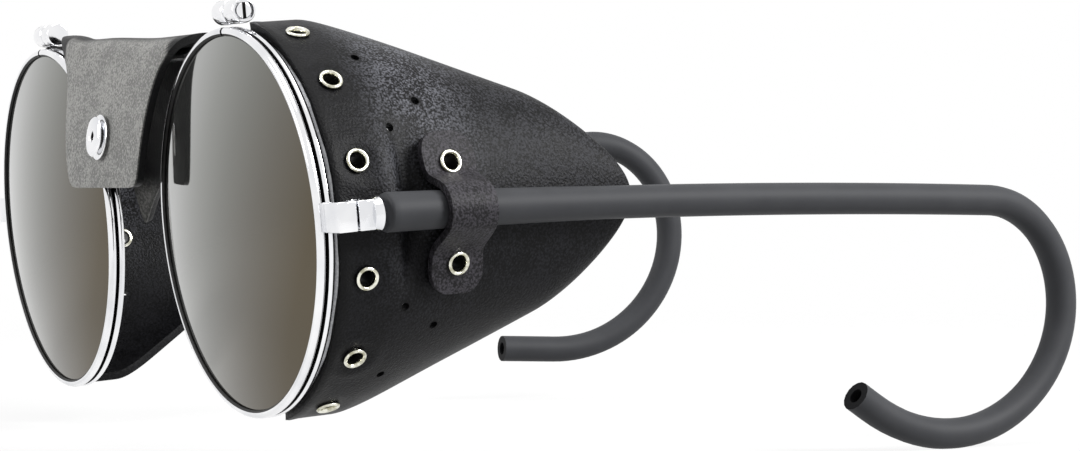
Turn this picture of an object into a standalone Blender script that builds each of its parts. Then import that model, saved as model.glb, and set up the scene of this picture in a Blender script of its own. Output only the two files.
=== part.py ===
"""Glacier glasses: round metal rims, mirrored lenses, riveted leather side shields and cable temples.

Metres, +Z up. The front faces -Y, the temples run back along +Y and the wearer's left is +X.
"""

from math import asin, cos, pi, radians, sin, sqrt, tan

import bmesh
import bpy
from mathutils import Matrix, Vector

# Overall layout
LENS_SPACING = 0.07636
FACE_TILT = radians(5.07)
FACE_WRAP = radians(1.2)
CLEARANCE = 0.0003

# Eyewire
RIM_OUTER_RADIUS = 0.0270
RIM_DEPTH = 0.0017
RIM_WIDTH = 0.0025
RIM_RIDGE_DEPTH = 0.0005
LENS_GROOVE_DEPTH = 0.0005
LENS_GROOVE_WIDTH = 0.0010
RIM_SPLIT = 0.0006
RIM_SEGMENTS = 40

# Lens
LENS_CURVE_RADIUS = 0.1200
LENS_THICKNESS = 0.0018

# Closing block at the top of each rim
BARREL_RADIUS = 0.00175
BARREL_LENGTH = 0.0034
BARREL_GAP = 0.0006
CLOSING_BACK = 0.0010
CLOSING_SHIFT = 0.0004
CLOSING_SCREW_RADIUS = 0.0007
CLOSING_HEAD_RADIUS = 0.00115
CLOSING_HEAD_LENGTH = 0.0009
SCREW_SLOT_WIDTH = 0.0004
SCREW_SLOT_DEPTH = 0.00035

# Bridge
BRIDGE_DROP = 0.0031
BRIDGE_RADIUS = 0.0010

# Hinge
HINGE_STAND = 0.0029
HINGE_BACK = 0.0031
HINGE_HEIGHT = 0.0010
END_PIECE_FRONT = 0.0002
END_PIECE_COVER = 0.0027
END_PIECE_HEIGHT = 0.0045
KNUCKLE_RADIUS = 0.00125
KNUCKLE_HEIGHT = 0.0013
PIN_RADIUS = 0.0006
PIN_HEAD_RADIUS = 0.0010
PIN_HEAD_HEIGHT = 0.0005

# Temple
LUG_LENGTH = 0.0024
COLLAR_LENGTH = 0.0015
SLEEVE_GAP = 0.0006
COLLAR_FRONT_RADIUS = 0.00205
COLLAR_REAR_RADIUS = 0.0024
CORE_RADIUS = 0.0008
CORE_SEAT = 0.0020
CORE_END_INSET = 0.0040
SLEEVE_BORE_RADIUS = 0.0011
SLEEVE_FRONT_RADIUS = 0.00265
SLEEVE_REAR_RADIUS = 0.00228
SLEEVE_TAPER_LENGTH = 0.0350
TEMPLE_TOE = radians(5.3)
SLEEVE_SIDES = 10
CURL_STEP = radians(13.0)

# Each cable is bent by hand to its ear, so the two sides differ.
LEFT_DROP = radians(-2.53)
LEFT_BOW = radians(3.6)
LEFT_STRAIGHT = 0.1037
LEFT_CURL_START_RADIUS = 0.0147
LEFT_CURL_MIDDLE_RADIUS = 0.0162
LEFT_CURL_END_RADIUS = 0.0317
LEFT_CURL_SWEEP = radians(210.5)
LEFT_TAIL = 0.0034
RIGHT_DROP = radians(1.25)
RIGHT_BOW = radians(0)
RIGHT_STRAIGHT = 0.0992
RIGHT_CURL_START_RADIUS = 0.0127
RIGHT_CURL_MIDDLE_RADIUS = 0.0184
RIGHT_CURL_END_RADIUS = 0.0240
RIGHT_CURL_SWEEP = radians(188)
RIGHT_TAIL = 0.0100

# Leather side shield
LEATHER = 0.0013
SHIELD_STAND = 0.0007
SHIELD_TOP_ANGLE = radians(81)
SHIELD_BOTTOM_ANGLE = radians(79)
SHIELD_HEM_END = 0.0083
SHIELD_EASE = 0.08
SHIELD_REACH = 0.0478
SHIELD_TIP_START = 0.0345
SHIELD_TIP_HEIGHT = 0.0088
HOOP_RADIUS = 0.0005
HEM_STRIP_SETBACK = 0.0009
HOOP_STEPS = 18
SHIELD_COLUMNS = 20
VENT_RADIUS = 0.0006
HOLE_SIDES = 8
VENTS = ((0.0107, 0.0214), (0.0167, 0.0151), (0.0115, 0.0120))

# Eyelets
EYELET_ANGLES = (66.0, 42.3, 16.6, -15.8, -41.3, -66.5)
EYELET_BACK = 0.0054
EYELET_SHANK_RADIUS = 0.00115
EYELET_BORE_RADIUS = 0.00075
EYELET_FLANGE_RADIUS = 0.0017
EYELET_FLANGE = 0.00045
EYELET_SEGMENTS = 9

# Strap over each temple
STRAP_BACK = 0.0184
STRAP_LOWERED = 0.0006
STRAP_HALF_LENGTH = 0.0104
STRAP_HALF_WIDTH = 0.0041
STRAP_WAIST = 0.0036
STRAP_EYELET_RISE = 0.0064
STRAP_THICKNESS = 0.0011

# Leather nose piece
NOSE_FLAP_BOTTOM = 0.0046
NOSE_FLAP_TOP_WIDTH = 0.0213
NOSE_FLAP_BOTTOM_WIDTH = 0.0150
NOSE_FLAP_FORWARD = 0.0051
NOSE_ARCH_TOP = 0.0060
NOSE_ARCH_FOOT = -0.0020
NOSE_TUCK = 0.0006
NOSE_COLUMNS = 13
STUD_RADIUS = 0.0034
STUD_HEIGHT = 0.0126
STUD_SHANK_RADIUS = 0.0017
STUD_BORE_RADIUS = 0.0005
STUD_FLANGE = 0.0004
STUD_PROUD = 0.0014

RIM_INNER_RADIUS = RIM_OUTER_RADIUS - RIM_DEPTH
BRIDGE_HEIGHT = RIM_OUTER_RADIUS - BRIDGE_DROP
HINGE_OUT = RIM_OUTER_RADIUS + HINGE_STAND
END_PIECE_OUT = HINGE_OUT + END_PIECE_COVER
SHIELD_RADIUS = RIM_OUTER_RADIUS + SHIELD_STAND
HINGE_FACE = HINGE_BACK + CLEARANCE / 2
SLEEVE_START = HINGE_FACE + LUG_LENGTH + COLLAR_LENGTH + SLEEVE_GAP
SLEEVE_OUT = (HINGE_OUT + END_PIECE_OUT) / 2
RIM_BACK = RIM_WIDTH / 2
NOSE_WRAP_RADIUS = BRIDGE_RADIUS + 2 * CLEARANCE
HOOP_BACK = RIM_BACK + CLEARANCE + HOOP_RADIUS
HOOP_OUT = SHIELD_RADIUS - LEATHER - CLEARANCE - HOOP_RADIUS


def clear_scene():
    for item in list(bpy.data.objects):
        bpy.data.objects.remove(item, do_unlink=True)


def make_material(name, red, green, blue, metallic, roughness):
    material = bpy.data.materials.new(name)
    material.use_nodes = True
    shader = material.node_tree.nodes["Principled BSDF"]
    shader.inputs["Base Color"].default_value = (red, green, blue, 1.0)
    shader.inputs["Metallic"].default_value = metallic
    shader.inputs["Roughness"].default_value = roughness
    return material


def make_empty(name, parent, location=(0, 0, 0), rotation=(0, 0, 0)):
    empty = bpy.data.objects.new(name, None)
    bpy.context.collection.objects.link(empty)
    empty.parent = parent
    empty.location = location
    empty.rotation_euler = rotation
    empty.empty_display_size = 0.005
    return empty


def attach(item, parent):
    """Parents a piece that is drawn in its side's frame, also to an empty on the hinge axis."""
    item.parent = parent
    if parent.name.startswith("hinge_"):
        item.matrix_parent_inverse = Matrix.Translation(-parent.location)


def finish(bm, name, material, parent, smooth_angle=35):
    """Turns a bmesh into a named object with outward faces."""
    bmesh.ops.remove_doubles(bm, verts=bm.verts, dist=1e-7)
    bmesh.ops.recalc_face_normals(bm, faces=bm.faces)
    mesh = bpy.data.meshes.new(name)
    bm.to_mesh(mesh)
    bm.free()
    mesh.shade_smooth()
    mesh.set_sharp_from_angle(angle=radians(smooth_angle))
    item = bpy.data.objects.new(name, mesh)
    bpy.context.collection.objects.link(item)
    attach(item, parent)
    if material:
        mesh.materials.append(material)
    return item


def as_cutter(item):
    item.hide_render = True
    item.display_type = "WIRE"
    return item


def tool(bm, side, name, parent):
    """A helper for a boolean, drawn for the left side."""
    return as_cutter(finish(mirrored(bm, side), name, None, parent))


def boolean(item, other, operation):
    modifier = item.modifiers.new(operation.lower() + "_" + other.name, "BOOLEAN")
    modifier.operation = operation
    modifier.solver = "EXACT"
    modifier.object = other


def bridge_rings(bm, rings, loop):
    """Joins rings of vertices with quads; loop also joins the last ring to the first."""
    pairs = list(zip(rings, rings[1:]))
    if loop:
        pairs.append((rings[-1], rings[0]))
    for first, second in pairs:
        count = len(first)
        for index in range(count):
            after = (index + 1) % count
            bm.faces.new((first[index], first[after], second[after], second[index]))


def turned(profile, segments):
    """A closed profile of (radius, height) turned about +Z. A radius of zero closes that end."""
    bm = bmesh.new()
    edges = []
    verts = [bm.verts.new((radius, 0, height)) for radius, height in profile]
    for first, second in zip(verts, verts[1:]):
        edges.append(bm.edges.new((first, second)))
    if profile[0][0] > 0 or profile[-1][0] > 0:
        edges.append(bm.edges.new((verts[-1], verts[0])))
    bmesh.ops.spin(
        bm,
        geom=verts + edges,
        cent=(0, 0, 0),
        axis=(0, 0, 1),
        dvec=(0, 0, 0),
        angle=2 * pi,
        steps=segments,
        use_merge=True,
        use_duplicate=False,
    )
    bmesh.ops.remove_doubles(bm, verts=bm.verts, dist=1e-6)
    return bm


def box(low, high):
    bm = bmesh.new()
    bmesh.ops.create_cube(bm, size=1)
    for vert in bm.verts:
        for axis in range(3):
            vert.co[axis] = low[axis] if vert.co[axis] < 0 else high[axis]
    return bm


def rod(radius, start, end, segments=16):
    """A plain cylinder between two points."""
    start = Vector(start)
    end = Vector(end)
    bm = turned([(0, 0), (radius, 0), (radius, (end - start).length), (0, (end - start).length)], segments)
    turn = (end - start).to_track_quat("Z", "Y").to_matrix().to_4x4()
    bmesh.ops.transform(bm, matrix=Matrix.Translation(start) @ turn, verts=bm.verts)
    return bm


def mirrored(bm, side):
    """Reflects a shape across its own YZ plane for the right side."""
    if side < 0:
        bmesh.ops.scale(bm, vec=(-1, 1, 1), verts=bm.verts)
    return bm


def sheet(points, name, material, parent, thickness, offset):
    """A grid of points as a leather sheet of even thickness."""
    bm = bmesh.new()
    rows = [[bm.verts.new(point) for point in row] for row in points]
    for first, second in zip(rows, rows[1:]):
        for index in range(len(first) - 1):
            bm.faces.new((first[index], first[index + 1], second[index + 1], second[index]))
    mesh = bpy.data.meshes.new(name)
    bm.to_mesh(mesh)
    bm.free()
    item = bpy.data.objects.new(name, mesh)
    bpy.context.collection.objects.link(item)
    attach(item, parent)
    mesh.materials.append(material)
    mesh.shade_smooth()
    solid = item.modifiers.new("thickness", "SOLIDIFY")
    solid.thickness = thickness
    solid.offset = offset
    solid.use_even_offset = True
    return item


def rim_ring(side, parent, material, name):
    """The eyewire: two ridges outside, a lens groove inside, split at the top."""
    half = RIM_WIDTH / 2
    valley = RIM_OUTER_RADIUS - RIM_RIDGE_DEPTH
    groove = LENS_GROOVE_WIDTH / 2
    profile = [
        (valley, -half),
        (RIM_OUTER_RADIUS, -half * 0.65),
        (valley, -half * 0.12),
        (valley, half * 0.12),
        (RIM_OUTER_RADIUS, half * 0.65),
        (valley, half),
        (RIM_INNER_RADIUS, half),
        (RIM_INNER_RADIUS, groove),
        (RIM_INNER_RADIUS + LENS_GROOVE_DEPTH, 0),
        (RIM_INNER_RADIUS, -groove),
        (RIM_INNER_RADIUS, -half),
    ]
    opening = asin(RIM_SPLIT / 2 / RIM_INNER_RADIUS)
    start = pi / 2 + opening
    sweep = 2 * pi - 2 * opening
    bm = bmesh.new()
    rings = []
    for step in range(RIM_SEGMENTS + 1):
        angle = start + sweep * step / RIM_SEGMENTS
        rings.append([bm.verts.new((r * cos(angle), y, r * sin(angle))) for r, y in profile])
    bridge_rings(bm, rings, False)
    bm.faces.new(rings[0])
    bm.faces.new(rings[-1])
    return finish(mirrored(bm, side), name, material, parent, 50)


def lens(side, parent, material, name):
    """A curved lens whose bevelled edge sits in the rim's groove."""
    edge = LENS_GROOVE_WIDTH / 2
    flat = RIM_INNER_RADIUS - CLEARANCE
    front_sag = flat**2 / (2 * LENS_CURVE_RADIUS)
    back_sag = front_sag + 2 * edge - LENS_THICKNESS
    shares = (0.0, 0.55, 1.0)
    front = [(flat * share, edge + front_sag * (1 - share**2)) for share in shares]
    back = [(flat * share, back_sag * (1 - share**2) - edge) for share in reversed(shares)]
    rim_edge = [(RIM_INNER_RADIUS + LENS_GROOVE_DEPTH - CLEARANCE, 0.0)]
    bm = turned(back[::-1] + rim_edge + front[::-1], RIM_SEGMENTS)
    bmesh.ops.rotate(bm, cent=(0, 0, 0), matrix=Matrix.Rotation(pi / 2, 3, "X"), verts=bm.verts)
    return finish(mirrored(bm, side), name, material, parent, 30)


def along_x(bm, offset, height):
    """Lays a piece turned about Z along X on the closing block's axis."""
    bmesh.ops.rotate(bm, cent=(0, 0, 0), matrix=Matrix.Rotation(pi / 2, 3, "Y"), verts=bm.verts)
    bmesh.ops.translate(bm, vec=(offset + CLOSING_SHIFT, CLOSING_BACK, height), verts=bm.verts)
    return bm


def closing_block(side, parent, metal, label):
    """Two barrels on the rim's split ends, drawn together by a slotted screw."""
    height = RIM_OUTER_RADIUS + CLEARANCE + BARREL_RADIUS
    bore = CLOSING_SCREW_RADIUS + CLEARANCE
    sink = CLOSING_HEAD_RADIUS + CLEARANCE
    chamfer = BARREL_RADIUS * 0.12
    plain = [
        (bore, 0),
        (BARREL_RADIUS - chamfer, 0),
        (BARREL_RADIUS, chamfer),
        (BARREL_RADIUS, BARREL_LENGTH),
        (bore, BARREL_LENGTH),
    ]
    bm = along_x(turned(plain, 12), -BARREL_GAP / 2 - BARREL_LENGTH, height)
    finish(mirrored(bm, side), "closing_barrel_nasal_" + label, metal, parent)
    seat = BARREL_LENGTH - CLOSING_HEAD_LENGTH - CLEARANCE
    stepped = [
        (bore, 0),
        (BARREL_RADIUS, 0),
        (BARREL_RADIUS, BARREL_LENGTH - chamfer),
        (BARREL_RADIUS - chamfer, BARREL_LENGTH),
        (sink, BARREL_LENGTH),
        (sink, seat),
        (bore, seat),
    ]
    bm = along_x(turned(stepped, 12), BARREL_GAP / 2, height)
    finish(mirrored(bm, side), "closing_barrel_temple_" + label, metal, parent)
    reach = 2 * BARREL_LENGTH + BARREL_GAP - CLEARANCE
    screw = [
        (0, 0),
        (CLOSING_SCREW_RADIUS, 0),
        (CLOSING_SCREW_RADIUS, reach - CLOSING_HEAD_LENGTH),
        (CLOSING_HEAD_RADIUS, reach - CLOSING_HEAD_LENGTH),
        (CLOSING_HEAD_RADIUS, reach),
        (0, reach),
    ]
    bm = along_x(turned(screw, 12), BARREL_GAP / 2 + BARREL_LENGTH - reach, height)
    item = finish(mirrored(bm, side), "closing_screw_" + label, metal, parent)
    end = BARREL_GAP / 2 + BARREL_LENGTH + CLOSING_SHIFT
    wide = 2 * CLOSING_HEAD_RADIUS
    low = (end - SCREW_SLOT_DEPTH, CLOSING_BACK - wide, height - SCREW_SLOT_WIDTH / 2)
    high = (end + SCREW_SLOT_DEPTH, CLOSING_BACK + wide, height + SCREW_SLOT_WIDTH / 2)
    boolean(item, tool(box(low, high), side, "cut_screw_slot_" + label, parent), "DIFFERENCE")


def upright(radius, low, high, segments=16):
    """A cylinder on the hinge axis, between two heights measured from the hinge's middle."""
    start = (HINGE_OUT, HINGE_BACK, HINGE_HEIGHT + low)
    end = (HINGE_OUT, HINGE_BACK, HINGE_HEIGHT + high)
    return rod(radius, start, end, segments)


def end_piece(side, parent, metal, label):
    """The lug soldered to the rim's temple side, ending in the two outer hinge knuckles."""
    half = END_PIECE_HEIGHT / 2
    low = HINGE_HEIGHT - half
    high = HINGE_HEIGHT + half
    under = SHIELD_RADIUS + CLEARANCE
    back = HINGE_BACK - CLEARANCE / 2
    arm = box((under, END_PIECE_FRONT, low), (END_PIECE_OUT, back, high))
    item = finish(mirrored(arm, side), "end_piece_" + label, metal, parent)
    inner = RIM_OUTER_RADIUS - 4 * CLEARANCE
    foot = box((inner, END_PIECE_FRONT, low), (under + CLEARANCE, RIM_BACK, high))
    boolean(item, tool(foot, side, "join_end_foot_" + label, parent), "UNION")
    knuckle = upright(KNUCKLE_RADIUS, -half, half)
    boolean(item, tool(knuckle, side, "join_end_knuckle_" + label, parent), "UNION")
    reach = RIM_WIDTH * 2
    rim = rod(RIM_OUTER_RADIUS + CLEARANCE, (0, -reach, 0), (0, reach, 0), 96)
    boolean(item, tool(rim, side, "cut_end_rim_" + label, parent), "DIFFERENCE")
    gap = KNUCKLE_HEIGHT / 2 + CLEARANCE
    slot = upright(KNUCKLE_RADIUS + CLEARANCE, -gap, gap, 20)
    boolean(item, tool(slot, side, "cut_end_slot_" + label, parent), "DIFFERENCE")
    pin = upright(PIN_RADIUS + CLEARANCE, -half * 2, half * 2, 12)
    boolean(item, tool(pin, side, "cut_end_pin_" + label, parent), "DIFFERENCE")


def hinge_screw(side, parent, metal, label):
    half = END_PIECE_HEIGHT / 2
    length = 2 * half + CLEARANCE
    profile = [
        (0, 0),
        (PIN_RADIUS, 0),
        (PIN_RADIUS, length),
        (PIN_HEAD_RADIUS, length),
        (PIN_HEAD_RADIUS * 0.8, length + PIN_HEAD_HEIGHT),
        (0, length + PIN_HEAD_HEIGHT),
    ]
    bm = turned(profile, 12)
    bmesh.ops.translate(bm, vec=(HINGE_OUT, HINGE_BACK, HINGE_HEIGHT - half), verts=bm.verts)
    finish(mirrored(bm, side), "hinge_screw_" + label, metal, parent)


def temple_end(side, parent, metal, label):
    """The temple's hinge lug with its flared collar and the seat for the core."""
    half = END_PIECE_HEIGHT / 2
    back = HINGE_FACE + LUG_LENGTH
    body = box((HINGE_OUT, HINGE_FACE, HINGE_HEIGHT - half), (END_PIECE_OUT, back, HINGE_HEIGHT + half))
    item = finish(mirrored(body, side), "temple_lug_" + label, metal, parent)
    gap = KNUCKLE_HEIGHT / 2
    knuckle = upright(KNUCKLE_RADIUS, -gap, gap)
    boolean(item, tool(knuckle, side, "join_lug_knuckle_" + label, parent), "UNION")
    profile = [
        (0, -CLEARANCE),
        (COLLAR_FRONT_RADIUS, -CLEARANCE),
        (COLLAR_FRONT_RADIUS, COLLAR_LENGTH * 0.3),
        (COLLAR_REAR_RADIUS, COLLAR_LENGTH),
        (0, COLLAR_LENGTH),
    ]
    collar = turned(profile, 18)
    bmesh.ops.rotate(collar, cent=(0, 0, 0), matrix=Matrix.Rotation(-pi / 2, 3, "X"), verts=collar.verts)
    bmesh.ops.translate(collar, vec=(SLEEVE_OUT, back, HINGE_HEIGHT), verts=collar.verts)
    boolean(item, tool(collar, side, "join_lug_collar_" + label, parent), "UNION")
    relief = KNUCKLE_RADIUS + CLEARANCE
    for way, low, high in (("top", gap, END_PIECE_HEIGHT), ("base", -END_PIECE_HEIGHT, -gap)):
        pocket = upright(relief, low, high, 20)
        boolean(item, tool(pocket, side, "cut_lug_" + way + "_" + label, parent), "DIFFERENCE")
    pin = upright(PIN_RADIUS + CLEARANCE, -half * 2, half * 2, 12)
    boolean(item, tool(pin, side, "cut_lug_pin_" + label, parent), "DIFFERENCE")
    end = back + COLLAR_LENGTH
    start = (SLEEVE_OUT, end - CORE_SEAT - CLEARANCE, HINGE_HEIGHT)
    seat = rod(CORE_RADIUS + CLEARANCE, start, (SLEEVE_OUT, end + CLEARANCE, HINGE_HEIGHT), 12)
    boolean(item, tool(seat, side, "cut_lug_seat_" + label, parent), "DIFFERENCE")


def temple_route(drop, bow, straight, first_radius, middle_radius, last_radius, sweep, tail):
    """Points of the cable's centre line and the pitch of the cable at each, from the sleeve's start."""
    heading = Vector((-sin(TEMPLE_TOE), cos(TEMPLE_TOE), 0))
    upward = Vector((0, 0, 1))
    point = Vector((SLEEVE_OUT, SLEEVE_START, HINGE_HEIGHT))
    route = [(point.copy(), drop)]

    def advance(pitch, length, pitch_after):
        point.xyz = point + (heading * cos(pitch) + upward * sin(pitch)) * length
        route.append((point.copy(), pitch_after))

    runs = 5
    for step in range(runs):
        advance(drop - bow * (step + 0.5) / runs, straight / runs, drop - bow * (step + 1) / runs)
    start = drop - bow
    turns = max(4, round(sweep / CURL_STEP))
    for step in range(turns):
        share = 2 * (step + 0.5) / turns
        if share < 1:
            radius = first_radius + (middle_radius - first_radius) * share
        else:
            radius = middle_radius + (last_radius - middle_radius) * (share - 1)
        chord = 2 * radius * sin(sweep / turns / 2)
        advance(start - sweep * share / 2, chord, start - sweep * (step + 1) / turns)
    for step in range(2):
        advance(start - sweep, tail / 2, start - sweep)
    return route


def route_lengths(route):
    lengths = [0.0]
    for first, second in zip(route, route[1:]):
        lengths.append(lengths[-1] + (second[0] - first[0]).length)
    return lengths


def sleeve_radius(length):
    share = min(1.0, length / SLEEVE_TAPER_LENGTH)
    return SLEEVE_FRONT_RADIUS + (SLEEVE_REAR_RADIUS - SLEEVE_FRONT_RADIUS) * share


def tube_ring(bm, point, pitch, radius, sides):
    across = Vector((cos(TEMPLE_TOE), sin(TEMPLE_TOE), 0))
    heading = Vector((-sin(TEMPLE_TOE), cos(TEMPLE_TOE), 0))
    upward = Vector((0, 0, 1)) * cos(pitch) - heading * sin(pitch)
    ring = []
    for side in range(sides):
        angle = 2 * pi * side / sides
        ring.append(bm.verts.new(point + across * radius * cos(angle) + upward * radius * sin(angle)))
    return ring


def temple_cable(side, parent, label, rubber, steel, shape):
    """The rubber sleeve, a tube open at its tip, and the spring core inside it."""
    route = temple_route(*shape)
    lengths = route_lengths(route)
    bm = bmesh.new()
    outer = []
    for (point, pitch), length in zip(route, lengths):
        outer.append(tube_ring(bm, point, pitch, sleeve_radius(length), SLEEVE_SIDES))
    bore = [tube_ring(bm, point, pitch, SLEEVE_BORE_RADIUS, SLEEVE_SIDES) for point, pitch in route]
    bridge_rings(bm, outer + bore[::-1], True)
    finish(mirrored(bm, side), "temple_sleeve_" + label, rubber, parent, 60)
    bm = bmesh.new()
    last, pitch = route[-1]
    before = route[-2][0]
    stop = last + (before - last).normalized() * CORE_END_INSET
    seated = Vector((SLEEVE_OUT, SLEEVE_START - CORE_SEAT, HINGE_HEIGHT))
    rings = [core_ring(bm, seated)]
    rings += [tube_ring(bm, point, slope, CORE_RADIUS, 8) for point, slope in route[:-1]]
    rings.append(tube_ring(bm, stop, pitch, CORE_RADIUS, 8))
    bridge_rings(bm, rings, False)
    bm.faces.new(rings[0])
    bm.faces.new(rings[-1])
    finish(mirrored(bm, side), "temple_core_" + label, steel, parent, 60)


def core_ring(bm, point):
    """The core's square end in the lug, before the temple's toe-in and drop begin."""
    ring = []
    for step in range(8):
        angle = 2 * pi * step / 8
        ring.append(bm.verts.new(point + Vector((CORE_RADIUS * cos(angle), 0, CORE_RADIUS * sin(angle)))))
    return ring


def eased(share):
    """A share that starts gently, so that the shield leaves its hem without a crease."""
    soft = SHIELD_EASE
    return (sqrt(share * share + soft * soft) - soft) / (sqrt(1 + soft * soft) - soft)


def temple_side(back):
    """How far out the sleeve's inner side lies at a distance behind the rim, less a clearance."""
    toe = tan(TEMPLE_TOE) * (back - SLEEVE_START)
    return SLEEVE_OUT - toe - SLEEVE_FRONT_RADIUS - 2 * CLEARANCE


def shield_share(back):
    return eased(max(0.0, (back - SHIELD_HEM_END) / (SHIELD_REACH - SHIELD_HEM_END)))


def shield_edge(back, limit):
    """Half height of the shield at a distance behind the rim."""
    top = SHIELD_RADIUS * sin(limit)
    height = top + (SHIELD_TIP_HEIGHT - top) * shield_share(back)
    if back > SHIELD_TIP_START:
        height *= sqrt(1 - ((back - SHIELD_TIP_START) / (SHIELD_REACH - SHIELD_TIP_START)) ** 2)
    return height


def shield_point(across, back):
    """A point of the shield's outer face: across runs from -1 at the bottom edge to 1 at the top edge."""
    limit = SHIELD_TOP_ANGLE if across >= 0 else SHIELD_BOTTOM_ANGLE
    angle = across * limit
    share = shield_share(back)
    out = SHIELD_RADIUS * cos(angle) * (1 - share) + temple_side(SHIELD_REACH) * share
    return Vector((out, back, shield_edge(back, limit) * sin(angle) / sin(limit)))


def shield_across(back, height):
    """The place across the shield that lies at a given height."""
    limit = SHIELD_TOP_ANGLE if height >= 0 else SHIELD_BOTTOM_ANGLE
    return asin(height * sin(limit) / shield_edge(back, limit)) / limit


def shield_frame(back, height):
    """A point on the shield's outer face and the face's outward normal there."""
    across = shield_across(back, height)
    step = 0.01
    run = shield_point(across + step, back) - shield_point(across - step, back)
    rise = shield_point(across, back + CLEARANCE) - shield_point(across, back - CLEARANCE)
    return shield_point(across, back), rise.cross(run).normalized()


def flip(vector, side):
    return Vector((vector.x * side, vector.y, vector.z))


def holes(name, parent, side, places, reach):
    """One cutter with a cylinder at each (point, normal, radius)."""
    bm = bmesh.new()
    for point, normal, radius in places:
        part = rod(radius, point - normal * reach, point + normal * reach, HOLE_SIDES)
        mesh = bpy.data.meshes.new(name)
        part.to_mesh(mesh)
        part.free()
        bm.from_mesh(mesh)
        bpy.data.meshes.remove(mesh)
    return as_cutter(finish(mirrored(bm, side), name, None, parent))


def eyelet_mesh(name, depth, material):
    """A tubular eyelet: height 0 is the leather's outer face, and depth is the stack that it clamps."""
    back = -depth - CLEARANCE
    profile = [
        (EYELET_BORE_RADIUS, back - EYELET_FLANGE),
        (EYELET_FLANGE_RADIUS, back - EYELET_FLANGE * 0.7),
        (EYELET_FLANGE_RADIUS, back),
        (EYELET_SHANK_RADIUS, back),
        (EYELET_SHANK_RADIUS, CLEARANCE),
        (EYELET_FLANGE_RADIUS, CLEARANCE),
        (EYELET_FLANGE_RADIUS * 0.88, CLEARANCE + EYELET_FLANGE),
        (EYELET_BORE_RADIUS, CLEARANCE + EYELET_FLANGE * 0.7),
    ]
    bm = turned(profile, EYELET_SEGMENTS)
    bmesh.ops.recalc_face_normals(bm, faces=bm.faces)
    mesh = bpy.data.meshes.new(name)
    bm.to_mesh(mesh)
    bm.free()
    mesh.shade_smooth()
    mesh.set_sharp_from_angle(angle=radians(40))
    mesh.materials.append(material)
    return mesh


def place_on_normal(name, mesh, parent, point, normal):
    item = bpy.data.objects.new(name, mesh)
    bpy.context.collection.objects.link(item)
    attach(item, parent)
    item.location = point
    item.rotation_euler = normal.to_track_quat("Z", "Y").to_euler()
    return item


def ordered(values, side):
    """Columns in the order that makes a sheet's faces point away from the head."""
    return list(reversed(values)) if side > 0 else list(values)


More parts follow.
